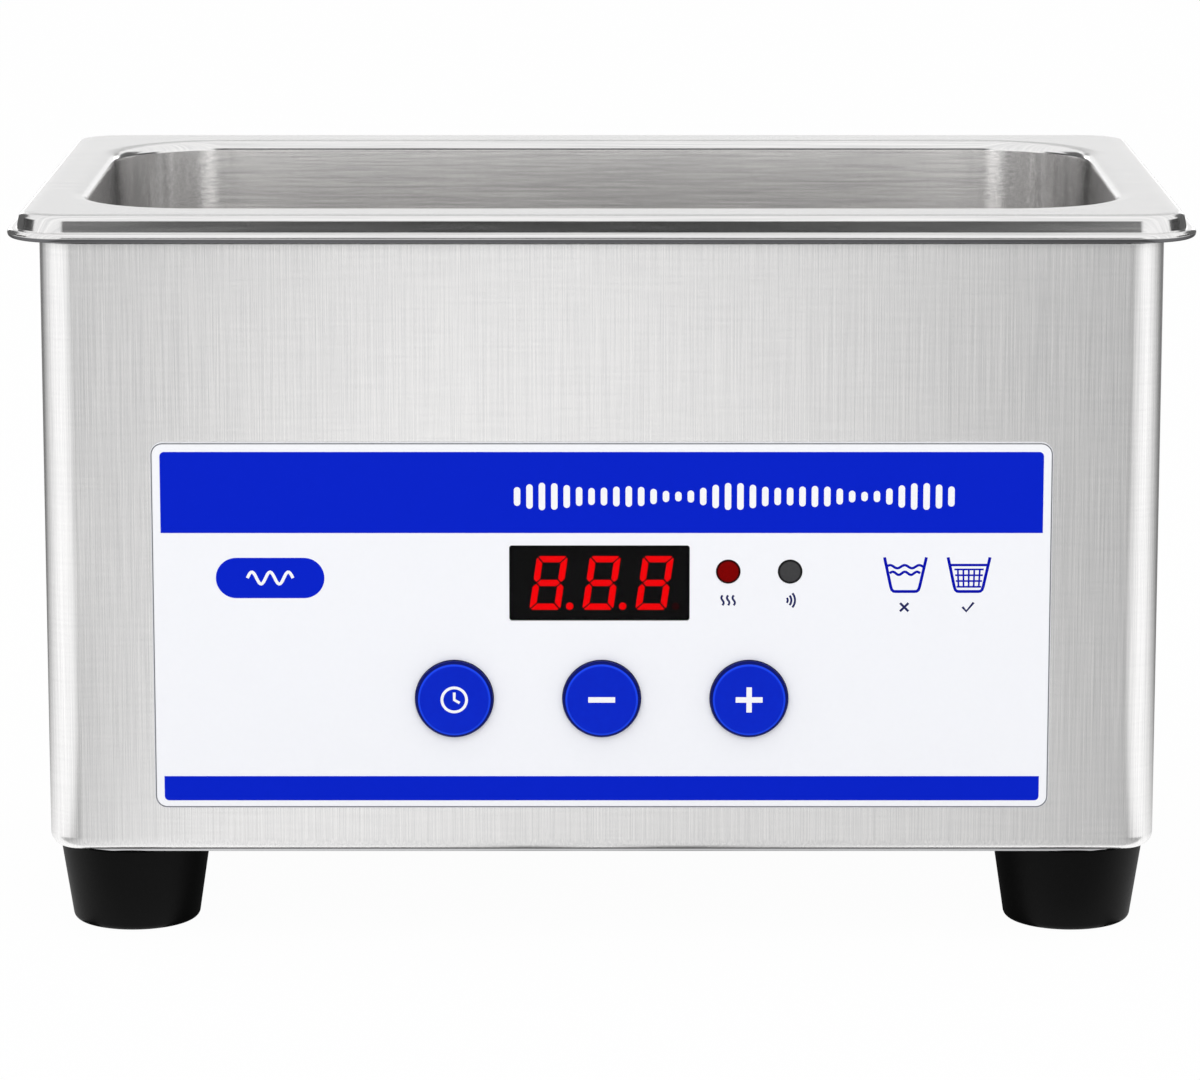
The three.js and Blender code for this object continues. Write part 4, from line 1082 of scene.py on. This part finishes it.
# %% Model the keys and their signs
def sign(name, centre):
    """The white sign of one key: a clock for the time, a minus or a plus."""
    x, z = centre[0] / MM, centre[1] / MM
    if name == "set":
        pieces = [line("dial", ellipse(centre, 2.2 * MM)[:-1], 0.5 * MM, True, DISH)]
        hands = mm((x, z + 1.35), (x, z), (x + 0.95, z - 0.55))
        return pieces + [line("hands", hands, 0.5 * MM, ground=DISH)]
    reach = [(-2.4, -0.5, 2.4, 0.5)]    # left, foot, right and top of each bar
    if name == "plus":
        reach += [(-0.48, 0.5, 0.48, 2.3), (-0.48, -2.3, 0.48, -0.5)]
    places = [mm((x + left, z + foot), (x + right, z + top)) for left, foot, right, top in reach]
    bars = [round_corners(rectangle("bar", *ends), 0.06 * MM, 2) for ends in places]
    return [raise_ink(bar, DISH) for bar in bars]


for name, x in KEYS.items():
    centre = (x, KEY_HEIGHT)
    key = turned(f"{name}_cap", FLANGE, key_section, key_back, centre, 96)
    smooth(stand(key), 40)
    report(key)
    dress(key, BUTTON_BLUE, [f"{name}_button"], f"{name}_key")
    ink(sign(name, centre), f"{name}_sign", INK_WHITE, f"{name}_key")

# %% [markdown]
# ## Rubber feet
# Four moulded rubber feet stand under the base, each a cone that narrows to the floor, with a
# soft lower edge and a deep hole for its screw. The wide top outline is inset down along the
# cone, round the edge and back up into the hole; the foot is then copied to each corner.

# %% The section of a foot
FOOT_TOP = 13.7 * MM
FOOT_TAPER = 2.1 * MM
FOOT_HEIGHT = 15.4 * MM
FOOT_EDGE = 1.3 * MM
RECESS = 5.4 * MM
RECESS_DEPTH = 6.0 * MM
FOOT_LIP = 0.25 * MM
RECESS_EDGE = 0.4 * MM

foot_lean = math.degrees(math.atan2(FOOT_TAPER, FOOT_HEIGHT))
foot_start = (0, FOOT_HEIGHT - FOOT_LIP)
foot_round = arc((FOOT_TAPER + FOOT_EDGE, FOOT_EDGE), FOOT_EDGE, -foot_lean, -90, 10)
recess_in = FOOT_TOP - RECESS
foot_side = [foot_start] + foot_round
foot_side += [(recess_in - RECESS_EDGE, 0), (recess_in, RECESS_EDGE), (recess_in, RECESS_DEPTH)]
foot_top = [foot_start, (FOOT_LIP, FOOT_HEIGHT)]

# %% Rubber
rubber = Finish("foot_rubber", {"Specular IOR Level": 0.10})
pores = rubber.noise(0.00035, detail=4.0, roughness=0.7)
bloom = rubber.noise(0.012, detail=3.0)
tone = pores * 0.5 + bloom * 0.5
rubber.drive({"Base Color": rubber.mix(tone, srgb(3, 3, 3), srgb(8, 8, 8)),
              "Roughness": 0.40 + pores * 0.14 + bloom * 0.08})
FOOT_RUBBER = rubber.bump(pores, 0.35, 0.00008)

# %% Set the feet in place
CORNERS = {"front_left": (-1, -1), "front_right": (1, -1),
           "rear_left": (-1, 1), "rear_right": (1, 1)}
first_foot = turned("foot", FOOT_TOP, foot_top, foot_side, sides=96)
smooth(first_foot, 40)
report(first_foot)
for place, (x, y) in CORNERS.items():
    foot = first_foot.copy()
    foot.data = first_foot.data.copy()
    bpy.context.scene.collection.objects.link(foot)
    foot.location = (x * FOOT_PLACE[0], y * FOOT_PLACE[1], 0)
    dress(settle(foot, f"{place}_foot"), FOOT_RUBBER, [f"foot_{place}"])
bpy.data.objects.remove(first_foot)

# %% [markdown]
# ## Everything else
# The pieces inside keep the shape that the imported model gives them. Each gets a finish of its
# own. There are two kinds: moulded ones, which are cloudy, and machined ones, which have lines.


# %% Finishes of the inner pieces
def moulded(name, colour, roughness, grain=0.0009, variety=0.12):
    """Plastic, rubber or ceramic: a colour with fine grain and soft clouds."""
    finish = Finish(name)
    fine = finish.noise(grain, detail=3.0, roughness=0.6)
    clouds = finish.noise(0.015)
    light = tuple(min(1.0, level * (1 + variety) + 0.004) for level in colour)
    dark = tuple(level * (1 - variety) for level in colour)
    finish.drive({"Base Color": finish.mix(fine * 0.6 + clouds * 0.4, dark, light),
                  "Roughness": roughness + fine * 0.12})
    return finish.bump(fine, 0.2, 0.00004)


def metal(name, colour, roughness, grain=(0.0004, 0.0004, 0.004)):
    """Metal with the fine lines of its machining."""
    finish = Finish(name, {"Metallic": 1.0})
    lines = finish.noise(grain, detail=3.0, roughness=0.6)
    clouds = finish.noise(0.02)
    dark = tuple(level * 0.85 for level in colour)
    finish.drive({"Base Color": finish.mix(lines * 0.6 + clouds * 0.4, dark, colour),
                  "Roughness": roughness + lines * 0.12})
    return finish.bump(lines, 0.1, 0.00003)


# %% Moulded and machined finishes
MOULDED = {
    "gasket_silicone": ((62, 62, 64), 0.5), "inlet_black": ((24, 24, 25), 0.42),
    "rocker_black": ((20, 20, 21), 0.32), "component_black": ((30, 30, 32), 0.45),
    "board_green": ((22, 92, 52), 0.35), "piezo_ceramic": ((204, 190, 150), 0.5),
    "heater_silicone": ((196, 82, 32), 0.55), "nylon": ((232, 230, 220), 0.45),
    "ferrite": ((46, 46, 50), 0.5), "coil_tape": ((214, 186, 60), 0.4),
    "capacitor_sleeve": ((24, 40, 96), 0.3)}
MACHINED = {
    "fastener_steel": ((214, 214, 218), 0.25), "aluminium": ((214, 216, 220), 0.34),
    "brass": ((206, 176, 96), 0.28), "switch_steel": ((206, 206, 210), 0.3)}
FINISHES = {name: moulded(name, srgb(*colour), rough) for name, (colour, rough) in MOULDED.items()}
for name, (colour, rough) in MACHINED.items():
    FINISHES[name] = metal(name, srgb(*colour), rough)
FINISHES["base_steel"] = metal("base_steel", srgb(222, 222, 224), 0.32, (0.02, 0.0004, 0.0004))

# %% [markdown]
# ## Inlet and switch
# The mains inlet and the rocker switch at the back are moulded parts with many small edges. The
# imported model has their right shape, but its edges are knife sharp. So a copy of each is merged,
# its flat faces are dissolved into whole ones, and a bevel rounds the edges as a mould does.


# %% Round the edges of a copy
SHARP = 28      # edges that turn by more degrees than this are rounded


def softened(node, name, width):
    """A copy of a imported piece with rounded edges."""
    piece = frame["nodes"][node].copy()
    piece.data = piece.data.copy()
    piece.parent = None
    for key in list(piece.keys()):
        del piece[key]
    piece.name = name
    piece.data.name = name
    bpy.context.scene.collection.objects.link(piece)
    pick(piece, "VERT")
    bpy.ops.mesh.remove_doubles(threshold=1e-6)
    bpy.ops.mesh.select_all(action="SELECT")
    bpy.ops.mesh.dissolve_limited(angle_limit=math.radians(0.5), delimit={"NORMAL"})
    done(piece)
    apply_modifier(piece, "BEVEL", width=width, segments=3, limit_method="ANGLE",
                   angle_limit=math.radians(SHARP), use_clamp_overlap=True)
    smooth(piece, 40)
    report(piece)
    return piece


# %% Round the edges of the moulded parts
# Each node's new piece, the width of its rounded edges in millimetres, its finish and body.
SOFTENED = {"power_inlet": ("inlet_socket", 0.35, "inlet_black", "cleaner"),
            "rocker_housing": ("switch_bezel", 0.3, "rocker_black", "cleaner"),
            "rocker": ("switch_rocker", 0.25, "rocker_black", "rocker_key"),
            "base_plate": ("base_sheet", 0.3, "base_steel", "cleaner"),
            "inlet_screw_left": ("inlet_screw_a", 0.25, "fastener_steel", "cleaner"),
            "inlet_screw_right": ("inlet_screw_b", 0.25, "fastener_steel", "cleaner")}
for node, (name, width, slot, body) in SOFTENED.items():
    dress(softened(node, name, width * MM), FINISHES[slot], [node], body)

# %% Mark the rocker
# The upper half, which is pressed in, has the bar for on, and the lower half the ring for off.
MARK_APART = 4.3 * MM   # from the middle of the rocker's face
face = max(bpy.data.objects["switch_rocker"].data.polygons, key=lambda part: part.area)
uphill = face.normal.cross(Vector((1, 0, 0)))
uphill *= math.copysign(1, uphill.z)
bar = round_corners(rectangle("bar", *mm((-0.4, -1.6), (0.4, 1.6))), 0.1 * MM, 2)
bar = raise_ink(bar, 0)
ring = line("ring", ellipse((0, 0), 1.35 * MM)[:-1], 0.6 * MM, True, 0)
for mark, way in ((bar, 1), (ring, -1)):
    mark.rotation_euler = face.normal.to_track_quat("Z", "Y").to_euler()
    mark.location = face.center + uphill * way * MARK_APART + face.normal * 0.005 * MM
    settle(mark)
dress(smooth(join([bar, ring], "rocker_marks")), INK_WHITE, body="rocker_key")
print("the rocker leans by", round(math.degrees(math.asin(face.normal.z)), 1), "degrees")

# %% Dress the pieces that keep their shape
for part in frame["record"]["subparts"]:
    node = frame["nodes"][part["node"]]
    if part["material_slot"] in FINISHES:
        for skin in node.material_slots:
            skin.material = FINISHES[part["material_slot"]]
print(len(FINISHES), "finishes for the pieces that keep their shape")

# %% [markdown]
# ## Floor, light and what the steel sees
# Polished steel has hardly a colour of its own: it shows its surroundings. A photographer puts
# white and dark boards round it, just out of the picture, and here cards that only reflections
# see do that. The world and one soft lamp give the light, at a level where a colour renders as
# it is written. The white behind the object comes from the floor's and the world's own colour,
# and the floor still takes the shadow. Reflections see that floor with fields of light and dark.

# %% What the steel sees of the floor
FLOOR_SIDE = 12.0
FLOOR_WHITE = 0.975     # the share of plain white in what is seen of the floor
TABLE_LIGHT = 1.25      # its brightest part
FAR_FLOOR = 0.95        # from here back, reflections see the floor dark
SKY_DIFFUSE = 0.85      # what the world gives to surfaces that aren't polished

# What polished steel sees of the floor, by the angle round the object: 0 is the left side,
# 0.25 the front, 0.5 the right side and 0.75 the back.
ROUND_THE_TABLE = [(0.0, 0.72), (0.033, 0.87), (0.073, 0.93), (0.107, 0.93), (0.131, 0.87),
                   (0.161, 0.80), (0.192, 0.58), (0.210, 0.30), (0.25, 0.76), (0.284, 0.30),
                   (0.300, 0.26), (0.322, 0.50), (0.353, 0.72), (0.410, 0.93), (0.450, 0.90),
                   (0.50, 0.66), (0.55, 0.40), (0.60, 0.16), (0.64, 0.16), (0.70, 0.62),
                   (0.75, 0.70), (0.80, 0.62), (0.85, 0.16), (0.90, 0.16), (0.94, 0.45),
                   (1.0, 0.72)]
# The strip of floor before the front has a pattern of its own, fixed to the floor. It changes
# from left to right, with 0 and 1 at STRIP_HALF to each side, and darkens towards the object.
STRIP_HALF = 0.14
STRIP_EDGE = 0.15       # where the light round the object takes over
ACROSS_THE_FRONT = [(0.0, 0.50), (0.07, 0.51), (0.14, 0.78), (0.21, 1.0), (0.36, 0.94),
                    (0.5, 0.84), (0.75, 0.76), (0.87, 0.57), (0.95, 0.43), (1.0, 0.42)]
NEAR_THE_FRONT = 0.77   # the share of its light that is left close to the front
NEARING = (-0.36, 0.30) # the middle of that change, and half its length
FRONT_LINE = -0.058     # where the strip ends, under the front wall


def rays(finish, *names):
    """1 for these kinds of ray, 0 for the others."""
    kinds = [finish.node("ShaderNodeLightPath", output=name) for name in names]
    total = sum(kinds[1:], kinds[0])
    return finish.node("ShaderNodeClamp", {}, {"Value": total})


def staged(name, size, place, turn=(0, 0, 0)):
    sheet = flat(name, size, place, turn)
    return sheet


# %% Lay the floor
floor = staged("floor", (FLOOR_SIDE, FLOOR_SIDE), (0, 0, -0.0002))
paper = Finish("floor_paper", {"Base Color": (0.8, 0.8, 0.8), "Roughness": 0.95})
around = paper.node("ShaderNodeTexGradient", {"gradient_type": "RADIAL"}, {0: paper.place()}, 1)
front = paper.ramp(paper.axis("X") * (0.5 / STRIP_HALF) + 0.5, ACROSS_THE_FRONT)
close = paper.axis("Y").above(*NEARING)
front = paper.mix(close, front, front.scaled(NEAR_THE_FRONT))
beside = paper.axis("X").size().above(STRIP_EDGE, 0.01)
behind = paper.axis("Y").above(FRONT_LINE, 0.001)
table = paper.mix(beside.most(behind), front, paper.ramp(around, ROUND_THE_TABLE))
table = paper.mix(paper.axis("Y").above(FAR_FLOOR, 0.15), table, (0.08, 0.08, 0.08))
glossy = rays(paper, "Is Glossy Ray")
level = paper.mix(glossy, (1 / TABLE_LIGHT,) * 3, table)
white = paper.node("ShaderNodeEmission", {}, {"Color": level, "Strength": TABLE_LIGHT})
plain = Wire(paper, paper.shader.outputs[0])
share = rays(paper, "Is Camera Ray", "Is Transmission Ray") * FLOOR_WHITE + glossy
paper.surface(paper.node("ShaderNodeMixShader", {}, {0: share, 1: plain, 2: white}))
floor.data.materials.append(paper.material)

# %% Light the world
bpy.context.scene.view_settings.view_transform = "Standard"
world = bpy.data.worlds.new("studio")
bpy.context.scene.world = world
sky = Finish("studio", {"Color": (1.0, 1.0, 1.0)}, world)
seen = rays(sky, "Is Camera Ray", "Is Glossy Ray", "Is Transmission Ray")
sky.drive({"Strength": SKY_DIFFUSE + seen * (1 - SKY_DIFFUSE)})
print("world at", SKY_DIFFUSE, "for light and 1 for the camera and reflections")

# %% Hang the lamp
LAMP_PLACE = (-0.2, -0.8, 1.5)
LAMP_SIZE = 2.0
LAMP_WATTS = 12.0

light = bpy.data.objects.new("top_lamp", bpy.data.lights.new("top_lamp", "AREA"))
light.data.size = LAMP_SIZE
light.data.energy = LAMP_WATTS
light.location = LAMP_PLACE
light.visible_glossy = False    # the steel shows the ceiling in its place
aim = Vector((0, 0, 0.07)) - light.location
light.rotation_euler = aim.to_track_quat("-Z", "Y").to_euler()
bpy.context.scene.collection.objects.link(light)
print("one lamp of", LAMP_WATTS, "watts")


# %% Set up the cards
def card(name, size, place, turn, level, fade=0.0):
    """A card that only reflections see. Its sides may fade into the white around it."""
    sheet = staged(name, size, place, turn)
    finish = Finish(name)
    side = finish.axis("X").size().above(size[0] / 2 - fade, fade) if fade else 0.0
    colour = finish.mix(side, (level,) * 3, (1.0, 1.0, 1.0))
    glow = finish.node("ShaderNodeEmission", {}, {"Color": colour})
    sheet.data.materials.append(finish.surface(glow))
    sheet.visible_camera = sheet.visible_diffuse = False
    sheet.visible_transmission = sheet.visible_shadow = False
    return sheet


upright = math.pi / 2
card("room_behind", (1.12, 1.0), (0, -2.4, 0.85), (upright, 0, 0), 0.01, fade=0.10)
card("ceiling", (5.0, 5.0), (0, 0, 1.9), (0, 0, 0), 0.97)
card("backdrop_gap", (1.6, 0.36), (0, 2.4, 0.94), (upright, 0, 0), 0.28)
for side in (-1, 1):
    card(f"flag_{side + 1}", (1.1, 1.1), (side * 1.06, 1.06, 0.55),
         (upright, 0, -side * math.pi / 4), 0.12)
card("foot_shade", (0.19, 0.10), (0, 0, 0.0001), (0, 0, 0), 0.10)   # the dark under the base
# The bath shows what stands low behind it, to the left and the right.
for side, level in ((-1, 2.6), (1, 2.2)):
    card(f"low_light_{side + 1}", (0.62, 0.50), (side * 0.81, 2.3, 0.45), (upright, 0, 0), level)
    card(f"low_shade_{side + 1}", (1.2, 0.5), (side * 1.6, 0.3, 0.40),
         (upright, 0, -side * upright), 0.05)
print("ten cards for reflections")
